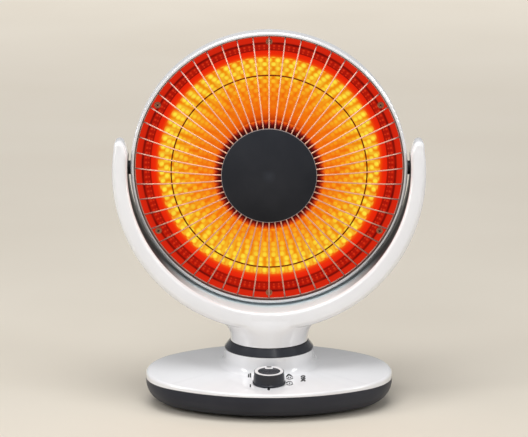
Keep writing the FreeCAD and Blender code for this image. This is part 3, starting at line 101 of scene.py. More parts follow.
def soft_lamp(name, place, size, power):
    data = bpy.data.lights.new(name, "AREA")
    data.shape = "RECTANGLE"
    data.size, data.size_y = size
    data.energy = power
    lamp = bpy.data.objects.new(name, data)
    scene.collection.objects.link(lamp)
    lamp.location = place
    lamp.rotation_euler = (DISH_CENTRE - Vector(place)).to_track_quat("-Z", "Y").to_euler()


for name, settings in LAMPS.items():
    soft_lamp(name, **settings)
print("lamps:", ", ".join(LAMPS))

# %% [markdown]
# The backdrop should look pale without lighting the heater. Light Path tells rays that the eye follows,
# straight or by way of a mirror or glass, from light that scatters. The first kind sees the pale backdrop,
# and the second kind only the dim ambient light.

# %% Studio world
AMBIENT_TINT, AMBIENT_STRENGTH = (0.93, 0.95, 1.0, 1), 0.14
BACKDROP_TINT, BACKDROP_STRENGTH = (0.92, 0.92, 0.92, 1), 0.5


def seen_directly(tree):
    """One for rays from the camera, a mirror or glass, and zero for light that scatters."""
    paths = tree.nodes.new("ShaderNodeLightPath")
    total = paths.outputs["Is Camera Ray"]
    for ray in ("Is Glossy Ray", "Is Transmission Ray"):
        larger = tree.nodes.new("ShaderNodeMath")
        larger.operation = "MAXIMUM"
        tree.links.new(total, larger.inputs[0])
        tree.links.new(paths.outputs[ray], larger.inputs[1])
        total = larger.outputs[0]
    return total


world = bpy.data.worlds.new("studio")
scene.world = world
world.use_nodes = True
sky_tree = world.node_tree
sky_tree.nodes.clear()
either = sky_tree.nodes.new("ShaderNodeMixShader")
sky_tree.links.new(seen_directly(sky_tree), either.inputs["Fac"])
skies = ((AMBIENT_TINT, AMBIENT_STRENGTH), (BACKDROP_TINT, BACKDROP_STRENGTH))
for target, (tint, strength) in zip(list(either.inputs)[1:], skies):
    background = sky_tree.nodes.new("ShaderNodeBackground")
    background.inputs["Color"].default_value = tint
    background.inputs["Strength"].default_value = strength
    sky_tree.links.new(background.outputs[0], target)
sky = sky_tree.nodes.new("ShaderNodeOutputWorld")
sky_tree.links.new(either.outputs[0], sky.inputs["Surface"])
print("world: ambient", AMBIENT_STRENGTH, "backdrop", BACKDROP_STRENGTH)


# %% [markdown]
# Every material starts the same way: one Principled shader, with a few numbers set on it. Nodes could be
# added and linked line by line, but a small class with short words keeps each finish readable.
# Patterns that more than one finish shares are node groups with named sockets, built once.

# %% Materials: the common start
class Finish:
    """A material's node tree, with short words for adding and joining nodes."""

    def __init__(self, name, tree=None):
        self.material = None
        if tree is None:
            self.material = bpy.data.materials.new(name)
            self.material.use_nodes = True
            tree = self.material.node_tree
            tree.nodes.clear()
        self.tree = tree
        if self.material:
            self.shader = self.add("ShaderNodeBsdfPrincipled")
            output = self.add("ShaderNodeOutputMaterial")
            self.join(self.shader.outputs[0], output.inputs["Surface"])

    def add(self, kind, **settings):
        node = self.tree.nodes.new(kind)
        for key, value in settings.items():
            setattr(node, key, value)
        return node

    def join(self, source, target):
        self.tree.links.new(source, target)

    def feed(self, target, source):
        """Give a socket a number, a colour or another socket."""
        if hasattr(source, "is_linked"):
            self.join(source, target)
        else:
            target.default_value = source

    def place(self):
        """Object coordinates, which stay with the piece when it moves."""
        return self.add("ShaderNodeTexCoord").outputs["Object"]

    def split(self, vector):
        """A vector's X, Y and Z as sockets of their own."""
        node = self.add("ShaderNodeSeparateXYZ")
        self.join(vector, node.inputs[0])
        return node.outputs

    def noise(self, vector, scale, detail=2):
        node = self.add("ShaderNodeTexNoise")
        self.join(vector, node.inputs["Vector"])
        self.feed(node.inputs["Scale"], scale)
        node.inputs["Detail"].default_value = detail
        return node.outputs["Fac"]

    def math(self, operation, *sources):
        node = self.add("ShaderNodeMath", operation=operation)
        for target, source in zip(node.inputs, sources):
            self.feed(target, source)
        return node.outputs[0]

    def span(self, source, low, high, start=0.0, end=1.0, kind="LINEAR"):
        """Map a value from one range to another, clamped."""
        node = self.add("ShaderNodeMapRange", interpolation_type=kind)
        self.feed(node.inputs["Value"], source)
        for socket, number in zip(("From Min", "From Max", "To Min", "To Max"), (low, high, start, end)):
            node.inputs[socket].default_value = number
        return node.outputs["Result"]

    def mix(self, share, first, second):
        node = self.add("ShaderNodeMix", data_type="RGBA")
        self.feed(node.inputs["Factor"], share)
        self.feed(node.inputs["A"], first)
        self.feed(node.inputs["B"], second)
        return next(out for out in node.outputs if out.type == "RGBA")

    def ramp(self, source, stops):
        node = self.add("ShaderNodeValToRGB")
        elements = node.color_ramp.elements
        while len(elements) < len(stops):
            elements.new(0.5)
        for element, (position, tint) in zip(elements, stops):
            element.position = position
            element.color = tint
        self.feed(node.inputs["Fac"], source)
        return node.outputs["Color"]

    def set(self, **numbers):
        for key, number in numbers.items():
            self.feed(self.shader.inputs[key.replace("_", " ")], number)

    def group(self, tree, **sources):
        node = self.add("ShaderNodeGroup", node_tree=tree)
        for key, source in sources.items():
            self.feed(node.inputs[key], source)
        return node.outputs

    def bump(self, height, strength, distance):
        node = self.add("ShaderNodeBump")
        node.inputs["Strength"].default_value = strength
        node.inputs["Distance"].default_value = distance
        self.join(height, node.inputs["Height"])
        self.join(node.outputs["Normal"], self.shader.inputs["Normal"])


def colour(red, green, blue):
    """A screen colour of 0 to 255 as the linear colour that the shader wants."""
    shares = [part / 255 for part in (red, green, blue)]
    linear = [s / 12.92 if s < 0.04 else ((s + 0.055) / 1.055) ** 2.4 for s in shares]
    return (*linear, 1.0)


def new_group(name, inputs, outputs):
    tree = bpy.data.node_groups.new(name, "ShaderNodeTree")
    for side, sockets in (("INPUT", inputs), ("OUTPUT", outputs)):
        for label, kind in sockets:
            tree.interface.new_socket(label, in_out=side, socket_type=kind)
    start = tree.nodes.new("NodeGroupInput")
    end = tree.nodes.new("NodeGroupOutput")
    return tree, Finish(name, tree), start.outputs, end.inputs


NUMBER, TINT, VECTOR = "NodeSocketFloat", "NodeSocketColor", "NodeSocketVector"
print("common start ready")

# %% [markdown]
# Moulded plastic is never one colour: the skin has a fine grain from the tool, the colour drifts a little,
# and a light dust settles on what faces up. One group gives all three, and each finish sets how strong.

# %% Group: moulded skin
DRIFT_SCALE = 14
DUST_TINT = (0.55, 0.53, 0.5, 1)
DRIFT_TINT = (0.25, 0.25, 0.27, 1)

moulded_skin, g, given, put = new_group(
    "moulded_skin",
    [("Colour", TINT), ("Dust", NUMBER), ("Grain", NUMBER), ("Smooth", NUMBER), ("Rough", NUMBER)],
    [("Colour", TINT), ("Roughness", NUMBER), ("Height", NUMBER)])
coords = g.place()
grain = g.noise(coords, given["Grain"], 3)
drift = g.noise(coords, DRIFT_SCALE, 4)
upward = g.split(g.add("ShaderNodeNewGeometry").outputs["Normal"])["Z"]
settled = g.math("MULTIPLY", g.span(upward, 0.55, 1.0, kind="SMOOTHSTEP"), g.span(drift, 0.35, 0.75))
shade = g.mix(g.span(drift, 0.3, 0.7, 0.0, 0.06), given["Colour"], DRIFT_TINT)
g.join(g.mix(g.math("MULTIPLY", settled, given["Dust"]), shade, DUST_TINT), put["Colour"])
patch = g.math("ADD", g.span(drift, 0.3, 0.7, 0.0, 0.7), g.span(grain, 0.3, 0.7, 0.0, 0.3))
rougher = g.math("SUBTRACT", given["Rough"], given["Smooth"])
g.join(g.math("MULTIPLY_ADD", patch, rougher, given["Smooth"]), put["Roughness"])
g.join(grain, put["Height"])
print("group made:", moulded_skin.name)

# %% [markdown]
# Each plastic is the same group with its own numbers. White mouldings are glossy under a clear coat, the
# dark ones are satin, and rubber is nearly matt. Shine is the strength of the plain reflection.

# %% Plastics
GRAIN_DEPTH = 0.2 * MM
COAT_ROUGHNESS = 0.06
WHITE = colour(239, 239, 241)


def moulded(name, tint, smooth, rough, grain, dusty, bump, coat=0.0, shine=0.5):
    finish = Finish(name)
    skin = finish.group(moulded_skin, Colour=tint, Dust=dusty, Grain=grain, Smooth=smooth, Rough=rough)
    finish.set(Base_Color=skin["Colour"], Roughness=skin["Roughness"], Specular_IOR_Level=shine)
    if coat:
        finish.set(Coat_Weight=coat, Coat_Roughness=COAT_ROUGHNESS)
    finish.bump(skin["Height"], bump, GRAIN_DEPTH)
    return finish.material


white_moulding = moulded("white_moulding", WHITE,
                         smooth=0.12, rough=0.2, grain=1400, dusty=0.03, bump=0.02, coat=1.0)
dark_moulding = moulded("dark_moulding", colour(42, 44, 53),
                        smooth=0.34, rough=0.46, grain=2600, dusty=0.04, bump=0.1, shine=0.2)
gloss_dark = moulded("gloss_dark", colour(36, 38, 45),
                     smooth=0.14, rough=0.22, grain=2000, dusty=0.02, bump=0.03, shine=0.3)
white_ring = moulded("white_ring", colour(240, 240, 241),
                     smooth=0.14, rough=0.22, grain=1400, dusty=0.03, bump=0.02, coat=0.3)
black_rubber = moulded("black_rubber", colour(30, 30, 31),
                       smooth=0.65, rough=0.85, grain=1800, dusty=0.12, bump=0.2)
plain_nylon = moulded("plain_nylon", colour(214, 212, 206),
                      smooth=0.4, rough=0.55, grain=1500, dusty=0.05, bump=0.06)
bare_ceramic = moulded("bare_ceramic", colour(228, 224, 214),
                       smooth=0.6, rough=0.75, grain=1200, dusty=0.05, bump=0.15)
printed_ink = moulded("printed_ink", colour(14, 14, 16),
                      smooth=0.5, rough=0.65, grain=1800, dusty=0.0, bump=0.03, shine=0.1)
print("plastics made")

# %% [markdown]
# Bright metal shows how it was worked: fine marks left by drawing, spinning or plating, and faint stains.
# One noise makes the marks and a coarser one the stains. The group turns them into roughness and a height.

# %% Group: drawn metal
MARK_SCALE = 900
STAIN_SCALE = 60

drawn_metal, g, given, put = new_group(
    "drawn_metal",
    [("Vector", VECTOR), ("Smooth", NUMBER), ("Rough", NUMBER)],
    [("Roughness", NUMBER), ("Height", NUMBER), ("Stain", NUMBER)])
marks = g.noise(given["Vector"], MARK_SCALE)
stain = g.noise(g.place(), STAIN_SCALE, 5)
blend = g.math("ADD", g.span(marks, 0.3, 0.7, 0.0, 0.6), g.span(stain, 0.4, 0.7, 0.0, 0.4))
rougher = g.math("SUBTRACT", given["Rough"], given["Smooth"])
g.join(g.math("MULTIPLY_ADD", blend, rougher, given["Smooth"]), put["Roughness"])
g.join(marks, put["Height"])
g.join(g.span(stain, 0.5, 0.75), put["Stain"])
print("group made:", drawn_metal.name)


# %% Metals
def metal(name, tint, stained, smooth, rough):
    finish = Finish(name)
    worked = finish.group(drawn_metal, Vector=finish.place(), Smooth=smooth, Rough=rough)
    spots = finish.math("MULTIPLY", worked["Stain"], 0.4)
    finish.set(Metallic=1.0, Roughness=worked["Roughness"], Base_Color=finish.mix(spots, tint, stained))
    finish.bump(worked["Height"], 0.05, 0.1 * MM)
    return finish.material


black_steel = metal("black_steel", colour(44, 44, 46), colour(30, 29, 28), 0.35, 0.5)
plated_steel = metal("plated_steel", colour(200, 200, 203), colour(150, 148, 146), 0.22, 0.38)
sheet_steel = metal("sheet_steel", colour(190, 190, 192), colour(150, 148, 146), 0.3, 0.45)
print("metals made")

# %% [markdown]
# Everything on the head is round, so its patterns are drawn in polar measure about the dish's axis. A UV
# map could carry them, but this group reads them straight from Object coordinates, for any piece: radius
# and distance forward in millimetres, and the turn from the top as a share of a full circle.

# %% Group: dish measure
dish_measure, g, given, put = new_group(
    "dish_measure", [], [("Radius", NUMBER), ("Turn", NUMBER), ("Forward", NUMBER)])


def length(g, first, second):
    return g.math("SQRT", g.math("ADD", g.math("POWER", first, 2.0), g.math("POWER", second, 2.0)))


spot = g.split(g.place())
rise = g.math("SUBTRACT", spot["Z"], DISH_CENTRE.z)
g.join(g.math("MULTIPLY", length(g, spot["X"], rise), 1 / MM), put["Radius"])
g.join(g.math("DIVIDE", g.math("ARCTAN2", spot["X"], rise), 2 * math.pi), put["Turn"])
g.join(g.math("MULTIPLY", g.math("SUBTRACT", DISH_CENTRE.y, spot["Y"]), 1 / MM), put["Forward"])
print("group made:", dish_measure.name)

# %% [markdown]
# The dish glows. Its colour runs from red at the flange to orange in the bowl, and each pressed dimple
# catches the element as a yellow spot. The real one mirrors a hot coil, which takes many samples to
# render, so here the dish gives the light itself: a painted glow, with painted reflections of the element
# on the dimples. The same polar measure places spots and mesh dimples.

# %% The glow: colours by radius
OUTER = 150.0


def at(radius, *tint):
    return (radius / OUTER, colour(*tint))


GROUND_STOPS = [
    at(44, 160, 40, 6), at(53, 236, 100, 8), at(64, 238, 106, 8), at(78, 242, 110, 6), at(90, 243, 126, 6),
    at(101, 239, 142, 8), at(115, 240, 148, 8), at(119, 244, 126, 7), at(121.4, 243, 84, 5),
    at(124.0, 236, 44, 4), at(128.4, 228, 32, 5), at(129.2, 104, 4, 1), at(130.2, 162, 16, 4),
    at(136.0, 170, 17, 4), at(137.0, 108, 3, 1), at(138.2, 104, 3, 1), at(139.2, 206, 32, 8),
    at(145.0, 212, 36, 10), at(146.8, 140, 18, 8)]
SPOT_STOPS = [
    at(54, 240, 116, 12), at(72, 246, 146, 24), at(86, 249, 178, 34), at(98, 252, 212, 50),
    at(112, 254, 234, 66), at(120, 254, 234, 66)]

glowing_dish = Finish("glowing_dish")
g = glowing_dish
polar = g.group(dish_measure)
scaled = g.math("DIVIDE", polar["Radius"], OUTER)
# Painted glow: the dish gives out these colours in place of reflecting the element.
ground = g.ramp(scaled, GROUND_STOPS)
spots = g.ramp(scaled, SPOT_STOPS)
print("glow:", len(GROUND_STOPS), "ground colours,", len(SPOT_STOPS), "spot colours")

# %% [markdown]
# Now the pattern. The dimples stand in rings, each with as many as fit, and every second ring is turned by
# half a step. Rounding the radius finds the nearest ring, and rounding the turn the nearest dimple on it.

# %% The glow: spots and streaks
DIMPLE_SPACING = 9.6
DIMPLE_PITCH = 5.2
DIMPLE_FIRST = 117.2
DIMPLE_ROWS = 11
SPOT_CORE, SPOT_REACH = 0.8, 4.4
BOWL_FADE = (119.8, 121.6)
CENTRE_FADE = (54.0, 60.0)
STREAKS = 78
STREAK_CORE, STREAK_REACH, STREAK_STRENGTH = 0.2, 3.4, 0.45


def round_steps(g, polar, count, ring):
    """How far a point lies beside the nearest of evenly spaced marks on a ring, and across the ring."""
    step = g.math("MULTIPLY", polar["Turn"], float(count))
    beside = g.math("SUBTRACT", g.math("FRACT", g.math("ADD", step, 0.5)), 0.5)
    beside = g.math("MULTIPLY", g.math("MULTIPLY", beside, polar["Radius"]), 2 * math.pi / count)
    return beside, g.math("SUBTRACT", polar["Radius"], ring)


rows = g.math("DIVIDE", g.math("SUBTRACT", DIMPLE_FIRST, polar["Radius"]), DIMPLE_PITCH)
row = g.math("ROUND", rows)
ring = g.math("SUBTRACT", DIMPLE_FIRST, g.math("MULTIPLY", row, DIMPLE_PITCH))
count = g.math("ROUND", g.math("MULTIPLY", ring, 2 * math.pi / DIMPLE_SPACING))
stagger = g.math("MULTIPLY", g.math("MODULO", row, 2.0), 0.5)
step = g.math("ADD", g.math("MULTIPLY_ADD", polar["Turn"], count, stagger), 0.5)
beside = g.math("MULTIPLY", g.math("SUBTRACT", g.math("FRACT", step), 0.5), DIMPLE_SPACING)
along = g.math("MULTIPLY", g.math("SUBTRACT", rows, row), DIMPLE_PITCH)
# Painted reflections: a yellow spot of the element on each dimple, and faint radial streaks.
near = g.span(length(g, beside, along), SPOT_CORE, SPOT_REACH, 1.0, 0.0, "SMOOTHSTEP")
off_streak = g.math("ABSOLUTE", round_steps(g, polar, STREAKS, 0.0)[0])
streak = g.span(off_streak, STREAK_CORE, STREAK_REACH, STREAK_STRENGTH, 0.0, "SMOOTHSTEP")
inside = g.math("MULTIPLY", g.span(polar["Radius"], *BOWL_FADE, 1.0, 0.0), g.span(polar["Radius"], *CENTRE_FADE))
glow = g.mix(g.math("MULTIPLY", inside, g.math("MAXIMUM", near, streak)), ground, spots)
print("glow:", DIMPLE_ROWS, "rings of spots,", STREAKS, "streaks")

# %% [markdown]
# The flange has two rings of small dots. A slow noise makes the painted glow uneven. The sheet
# itself is nearly black under its own light, so the lamps don't wash the colours out.

# %% The glow: dots, unevenness and the shader
DOT_COUNT = 156
DOT_RINGS = {134.2: 1.3, 131.2: 0.9}
DOT_TINT = colour(222, 54, 22)
DULL_TINT = colour(206, 40, 6)
FLICKER_SCALE = 90

for ring_radius, dot_width in DOT_RINGS.items():
    dot_away = length(g, *round_steps(g, polar, DOT_COUNT, ring_radius))
    dotted = g.span(dot_away, 0.3 * dot_width, 1.5 * dot_width, 0.8, 0.0, "SMOOTHSTEP")
    glow = g.mix(dotted, glow, DOT_TINT)
flicker = g.noise(g.place(), FLICKER_SCALE, 3)
glow = g.mix(g.span(flicker, 0.4, 0.75, 0.0, 0.25), glow, DULL_TINT)
g.set(Base_Color=(0.02, 0.002, 0.001, 1), Specular_IOR_Level=0.05, Emission_Strength=1.0, Emission_Color=glow,
      Roughness=g.span(flicker, 0.3, 0.7, 0.42, 0.55))
print("dish colours made")

# %% [markdown]
# All pieces end the same way: doubles are merged, normals turned outwards, and faces shaded smooth up to an
# angle.

# %% Helpers for pieces
WELD = 0.002 * MM


def finish_piece(name, bm, body, materials, replaced=(), smooth_angle=35):
    bmesh.ops.remove_doubles(bm, verts=bm.verts, dist=WELD)
    bmesh.ops.recalc_face_normals(bm, faces=bm.faces)
    limit = math.radians(smooth_angle)
    for face in bm.faces:
        face.smooth = True
    for edge in bm.edges:
        edge.smooth = len(edge.link_faces) == 2 and edge.calc_face_angle() < limit
    mesh = bpy.data.meshes.new(name)
    bm.to_mesh(mesh)
    bm.free()
    for material in materials:
        mesh.materials.append(material)
    piece = bpy.data.objects.new(name, mesh)
    scene.collection.objects.link(piece)
    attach(piece, body)
    if replaced:
        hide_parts(*replaced)
    print(name, len(mesh.polygons), "faces")
    return piece


# %% [markdown]
# The dish is a spun sheet, so the mesh is spun too: an outline of a few corners, front and back, turned
# once round the dish's axis. The bowl's curve is part of a circle, given by its two ends and its radius.

# %% The dish: a spun sheet
DISH_AXIS = (0, -1, 0)
ROUND_STEPS = 192
SHEET = 0.8
RIM_RADIUS, RIM_FORWARD = 148.7, 4.0
BAND = [(135.8, RIM_FORWARD), (135.2, 0.0), (129.2, 0.0), (128.6, -2.6)]
BOWL_RIM, BOWL_FLOOR = (119.5, -6.3), (52.0, -37.0)
BOWL_BEND = 250.0
BOWL_STEPS, FINE_STEPS = 18, 60
HOLE_RADIUS = 44.5


def in_dish(r, forward):
    """A point straight above the dish's axis, from its radius and its distance forward in millimetres."""
    return DISH_CENTRE + MM * Vector((0, -forward, r))


def bowl_arc(start, end, bend, count):
    """Points of the bowl's curve between two profile corners, by its radius of curvature."""
    (r0, f0), (r1, f1) = start, end
    half = math.hypot(r1 - r0, f1 - f0) / 2
    rise = math.sqrt(bend ** 2 - half ** 2)
    ux, uy = (r1 - r0) / (2 * half), (f1 - f0) / (2 * half)
    cx, cy = (r0 + r1) / 2 + rise * uy, (f0 + f1) / 2 - rise * ux
    first = math.atan2(f0 - cy, r0 - cx)
    last = math.atan2(f1 - cy, r1 - cx)
    angles = [first + (last - first) * k / count for k in range(count + 1)]
    return [(cx + bend * math.cos(angle), cy + bend * math.sin(angle)) for angle in angles]


back_rim = (BOWL_RIM[0] + SHEET / 2, BOWL_RIM[1] - SHEET)
back_floor = (BOWL_FLOOR[0], BOWL_FLOOR[1] - SHEET)
front_line = [(RIM_RADIUS, RIM_FORWARD), *BAND, *bowl_arc(BOWL_RIM, BOWL_FLOOR, BOWL_BEND, BOWL_STEPS),
              (HOLE_RADIUS, BOWL_FLOOR[1])]
back_line = [(HOLE_RADIUS, back_floor[1]), *reversed(bowl_arc(back_rim, back_floor, BOWL_BEND, BOWL_STEPS)),
             *[(r + SHEET, forward - SHEET) for r, forward in reversed(BAND)], (RIM_RADIUS, RIM_FORWARD - SHEET)]
bm = bmesh.new()
points = [bm.verts.new(in_dish(r, forward)) for r, forward in front_line + back_line]
edges = [bm.edges.new((points[i - 1], points[i])) for i in range(len(points))]
bmesh.ops.spin(bm, geom=points + edges, cent=DISH_CENTRE, axis=DISH_AXIS, angle=2 * math.pi,
               steps=ROUND_STEPS, use_merge=True)
bmesh.ops.recalc_face_normals(bm, faces=bm.faces)
print("dish sheet:", len(bm.faces), "faces")

# %% [markdown]
# The dimples are low domes on the sheet. Displacement would need a very fine mesh, and a bump alone shows
# no outline, so one flattened sphere per ring is spun round in copies.

# %% The dish: dimples and dots
DOME_SIDES, DOME_RINGS = 8, 4
DIMPLE_HEIGHT, DOT_HEIGHT = 0.8, 0.5
SMALL_DIMPLE, DIMPLE_GROWTH = 1.4, 0.8
GROWTH_FROM, GROWTH_OVER = 60, 60
BACK_FACING = 0.3


def dish_depth(r):
    """How far forward the bowl's surface is at a radius, and how it leans."""
    line = bowl_arc(BOWL_RIM, BOWL_FLOOR, BOWL_BEND, FINE_STEPS)
    for (r0, f0), (r1, f1) in zip(line, line[1:]):
        if r1 <= r <= r0:
            share = (r0 - r) / (r0 - r1)
            return f0 + (f1 - f0) * share, math.atan2(f0 - f1, r0 - r1)
    return 0.0, 0.0


def dome(bm, r, forward, lean, width, height, copies, turn=0.0):
    """A low dome on the sheet, repeated round the dish from an angle on."""
    made = bmesh.ops.create_uvsphere(bm, u_segments=DOME_SIDES, v_segments=DOME_RINGS, radius=width * MM)["verts"]
    bmesh.ops.scale(bm, vec=(1, 1, height / width), verts=made)
    stand = Matrix.Rotation(math.pi / 2 + lean, 4, "X")
    bmesh.ops.transform(bm, matrix=Matrix.Translation(in_dish(r, forward)) @ stand, verts=made)
    bmesh.ops.rotate(bm, cent=DISH_CENTRE, matrix=Matrix.Rotation(turn, 3, "Y"), verts=made)
    faces = list({face for vert in made for face in vert.link_faces})
    geom = made + list({edge for vert in made for edge in vert.link_edges}) + faces
    bmesh.ops.spin(bm, geom=geom, cent=DISH_CENTRE, axis=DISH_AXIS, angle=2 * math.pi * (copies - 1) / copies,
                   steps=copies - 1, use_duplicate=True)


for row in range(DIMPLE_ROWS):
    r = DIMPLE_FIRST - row * DIMPLE_PITCH
    forward, lean = dish_depth(r)
    copies = round(2 * math.pi * r / DIMPLE_SPACING)
    width = SMALL_DIMPLE + DIMPLE_GROWTH * (r - GROWTH_FROM) / GROWTH_OVER
    dome(bm, r, forward, lean, width, DIMPLE_HEIGHT, copies, math.pi / copies * (row % 2))
for r, width in DOT_RINGS.items():
    dome(bm, r, 0.0, 0.0, width, DOT_HEIGHT, DOT_COUNT)
bm.normal_update()
for face in bm.faces:
    face.material_index = 1 if face.normal.y > BACK_FACING else 0
finish_piece("dish", bm, "head", [glowing_dish.material, sheet_steel], ["reflector"])

# %% [markdown]
# A plain sheet behind the wires shades the element from the front. Close to its edge the glow of the bowl
# is painted on it, in soft scallops between the wires, so dark red runs into orange; the wires leave
# painted shadows as dark rays along them.

# %% Finish of the shade sheet
WIRE_COUNT = 52
WIRE_SHADOW_HALF, WIRE_SHADOW_DEPTH = 3.4, 2.0
SHADE_FADE = (50.0, 61.0)
SHEET_GLOW_STOPS = [(0.0, colour(34, 6, 6)), (0.3, colour(58, 4, 4)), (0.55, colour(92, 8, 5)),
               (0.78, colour(178, 44, 8)), (0.95, colour(230, 94, 8))]

shade_sheet = Finish("shade_sheet")
g = shade_sheet
polar = g.group(dish_measure)
beside, _ = round_steps(g, polar, WIRE_COUNT, 0.0)
# Painted glow of the bowl on the sheet, with painted shadows of the wires as dark rays along each wire.
wire_shadow = g.math("MULTIPLY", g.math("POWER", g.math("DIVIDE", beside, WIRE_SHADOW_HALF), 2.0), WIRE_SHADOW_DEPTH)
painted_glow = g.ramp(g.span(g.math("ADD", polar["Radius"], wire_shadow), *SHADE_FADE), SHEET_GLOW_STOPS)
g.set(Base_Color=(0.02, 0.004, 0.003, 1), Specular_IOR_Level=0.05, Emission_Color=painted_glow, Emission_Strength=1.0,
      Roughness=g.span(polar["Radius"], 20.0, 58.0, 0.4, 0.6))
print("shade sheet finished")

# %% [markdown]
# The guard is plated wire with a warm tint, a painted reflection of the glowing dish. Its middle ring lies
# behind the wires, close to the glow, and looks dark against it, so it is painted darker there as painted shade.

# %% Guard wire
MIDDLE_RING = 106.0
MIDDLE_HALF = (0.95, 1.0)
MIDDLE_FORWARD = (24.6, 24.66)
NEAR_GLOW_TINT, FAR_GLOW_TINT = colour(232, 176, 146), colour(206, 162, 150)
STAIN_TINT, MIDDLE_SHADE_TINT = colour(176, 128, 112), colour(118, 40, 10)

guard_wire = Finish("guard_wire")
g = guard_wire
polar = g.group(dish_measure)
# Painted shade: the middle ring behind the wires is painted dark.
off_middle = g.math("ABSOLUTE", g.math("SUBTRACT", polar["Radius"], MIDDLE_RING))
middle_shade = g.math("MULTIPLY", g.span(off_middle, *MIDDLE_HALF, 1.0, 0.0),
                g.span(polar["Forward"], *MIDDLE_FORWARD, 1.0, 0.0))
worked = g.group(drawn_metal, Vector=g.place(), Smooth=0.3, Rough=0.44)
# Painted reflection of the dish's glow: a warm tint, warmer towards the middle. Real stains are mixed in below.
reflected_glow = g.mix(g.span(polar["Radius"], 118.0, 140.0), NEAR_GLOW_TINT, FAR_GLOW_TINT)
reflected_glow_and_stain = g.mix(g.math("MULTIPLY", worked["Stain"], 0.35), reflected_glow, STAIN_TINT)
g.set(Base_Color=g.mix(middle_shade, reflected_glow_and_stain, MIDDLE_SHADE_TINT), Metallic=g.span(middle_shade, 0.0, 1.0, 0.45, 0.0),
      Roughness=g.math("MAXIMUM", worked["Roughness"], middle_shade), Specular_IOR_Level=0.1)
print("wire finish made")

# %% [markdown]
# The dark disc has a fine pale line at its rim, a painted highlight where the bevel would catch the lamps.
# It is painted a little lighter above than below, a painted reflection as a dark satin face shows when it mirrors
# a room.

# %% Hub disc
HUB_BOTTOM, HUB_TOP = 0.207, 0.309
HUB_RIM_HIGHLIGHT = (50.9, 51.1)

hub_disc = Finish("hub_disc")
g = hub_disc
polar = g.group(dish_measure)
# Painted reflection: the disc is painted lighter above than below.
painted_top_light = g.mix(g.span(g.split(g.place())["Z"], HUB_BOTTOM, HUB_TOP), colour(21, 22, 26), colour(40, 43, 50))
skin = g.group(moulded_skin, Colour=painted_top_light, Dust=0.0, Grain=2200.0, Smooth=0.4, Rough=0.52)
# Painted highlight: a pale line at the rim's bevel.
rim_highlight = g.span(polar["Radius"], *HUB_RIM_HIGHLIGHT)
g.set(Base_Color=g.mix(rim_highlight, skin["Colour"], colour(146, 138, 138)), Roughness=skin["Roughness"],
      Specular_IOR_Level=0.1)
g.bump(skin["Height"], 0.06, GRAIN_DEPTH)
print("hub finished")

# %% [markdown]
# The reflector's screws have a cross in the head. At this size a sunken cross in the material is enough,
# its dark colour a painted shade in the recess, and the polar measure puts one on each of the six screws.
# The bright ring round the head has a thin dark line where it meets the dish, a painted shadow in the gap.

# %% Screws and ring
SCREW_COUNT = 6
SCREW_RING = 139.5
CROSS_WIDTH, CROSS_LENGTH = (0.35, 0.55), (1.5, 1.8)
RING_GAP_SHADOW = (146.9, 147.3)

fixing_screw = Finish("fixing_screw")
g = fixing_screw
polar = g.group(dish_measure)
beside, across = (g.math("ABSOLUTE", side) for side in round_steps(g, polar, SCREW_COUNT, SCREW_RING))
# The cross is painted dark: painted shade in the recess.
cross = g.math("MULTIPLY", g.span(g.math("MINIMUM", beside, across), *CROSS_WIDTH, 1.0, 0.0),
               g.span(g.math("MAXIMUM", beside, across), *CROSS_LENGTH, 1.0, 0.0))
worked = g.group(drawn_metal, Vector=g.place(), Smooth=0.3, Rough=0.45)
g.set(Base_Color=g.mix(cross, colour(176, 116, 88), colour(20, 8, 6)), Roughness=worked["Roughness"],
      Metallic=g.span(cross, 0.0, 1.0, 0.8, 0.0))
g.bump(g.span(cross, 0.0, 1.0, 1.0, 0.0), 0.6, 0.4 * MM)

satin_ring = Finish("satin_ring")
g = satin_ring
polar = g.group(dish_measure)
worked = g.group(drawn_metal, Vector=g.place(), Smooth=0.23, Rough=0.28)
# Painted shadow: a thin dark line in the gap where the ring meets the dish.
line = g.span(polar["Radius"], *RING_GAP_SHADOW, 1.0, 0.0)
g.set(Base_Color=g.mix(line, colour(234, 234, 236), colour(70, 52, 52)), Roughness=worked["Roughness"],
      Metallic=g.span(line, 0.0, 1.0, 0.3, 0.0))
print("screws and ring finished")

# %% [markdown]
# The arms' inner faces, next to the head, are painted dark as painted shade, fading out towards the neck,
# so that the gap at the sides reads as a dark line from the front. Splitting the faces between two materials
# would leave a saw-tooth edge, so one material draws the edge by its radius.

# %% Finish of the yoke
INNER_BAND = 154.0
BAND_BLUR = 0.1
PAINTED_SHADE_FADE = (0.06, 0.15)
PALE_BAND_TINT, DARK_PAINTED_SHADE = colour(222, 236, 240), colour(24, 25, 28)

yoke_with_painted_shade = Finish("yoke_with_painted_shade")
g = yoke_with_painted_shade
polar = g.group(dish_measure)
from_bottom = g.math("SUBTRACT", 0.5, g.math("ABSOLUTE", polar["Turn"]))
inner = g.span(polar["Radius"], INNER_BAND - BAND_BLUR, INNER_BAND + BAND_BLUR, 1.0, 0.0)
# Painted shade: the inner faces are dark at the sides and fade to pale towards the bottom.
painted_band_shade = g.mix(g.span(from_bottom, *PAINTED_SHADE_FADE, kind="SMOOTHSTEP"), PALE_BAND_TINT, DARK_PAINTED_SHADE)
skin = g.group(moulded_skin, Colour=g.mix(inner, WHITE, painted_band_shade), Dust=0.02, Grain=1400.0, Smooth=0.12, Rough=0.2)
g.set(Base_Color=skin["Colour"], Roughness=g.math("MULTIPLY_ADD", inner, 0.3, skin["Roughness"]),
      Coat_Weight=g.span(inner, 0.0, 1.0, 1.0, 0.0), Coat_Roughness=COAT_ROUGHNESS)
g.bump(skin["Height"], 0.02, GRAIN_DEPTH)
print("yoke finish made")


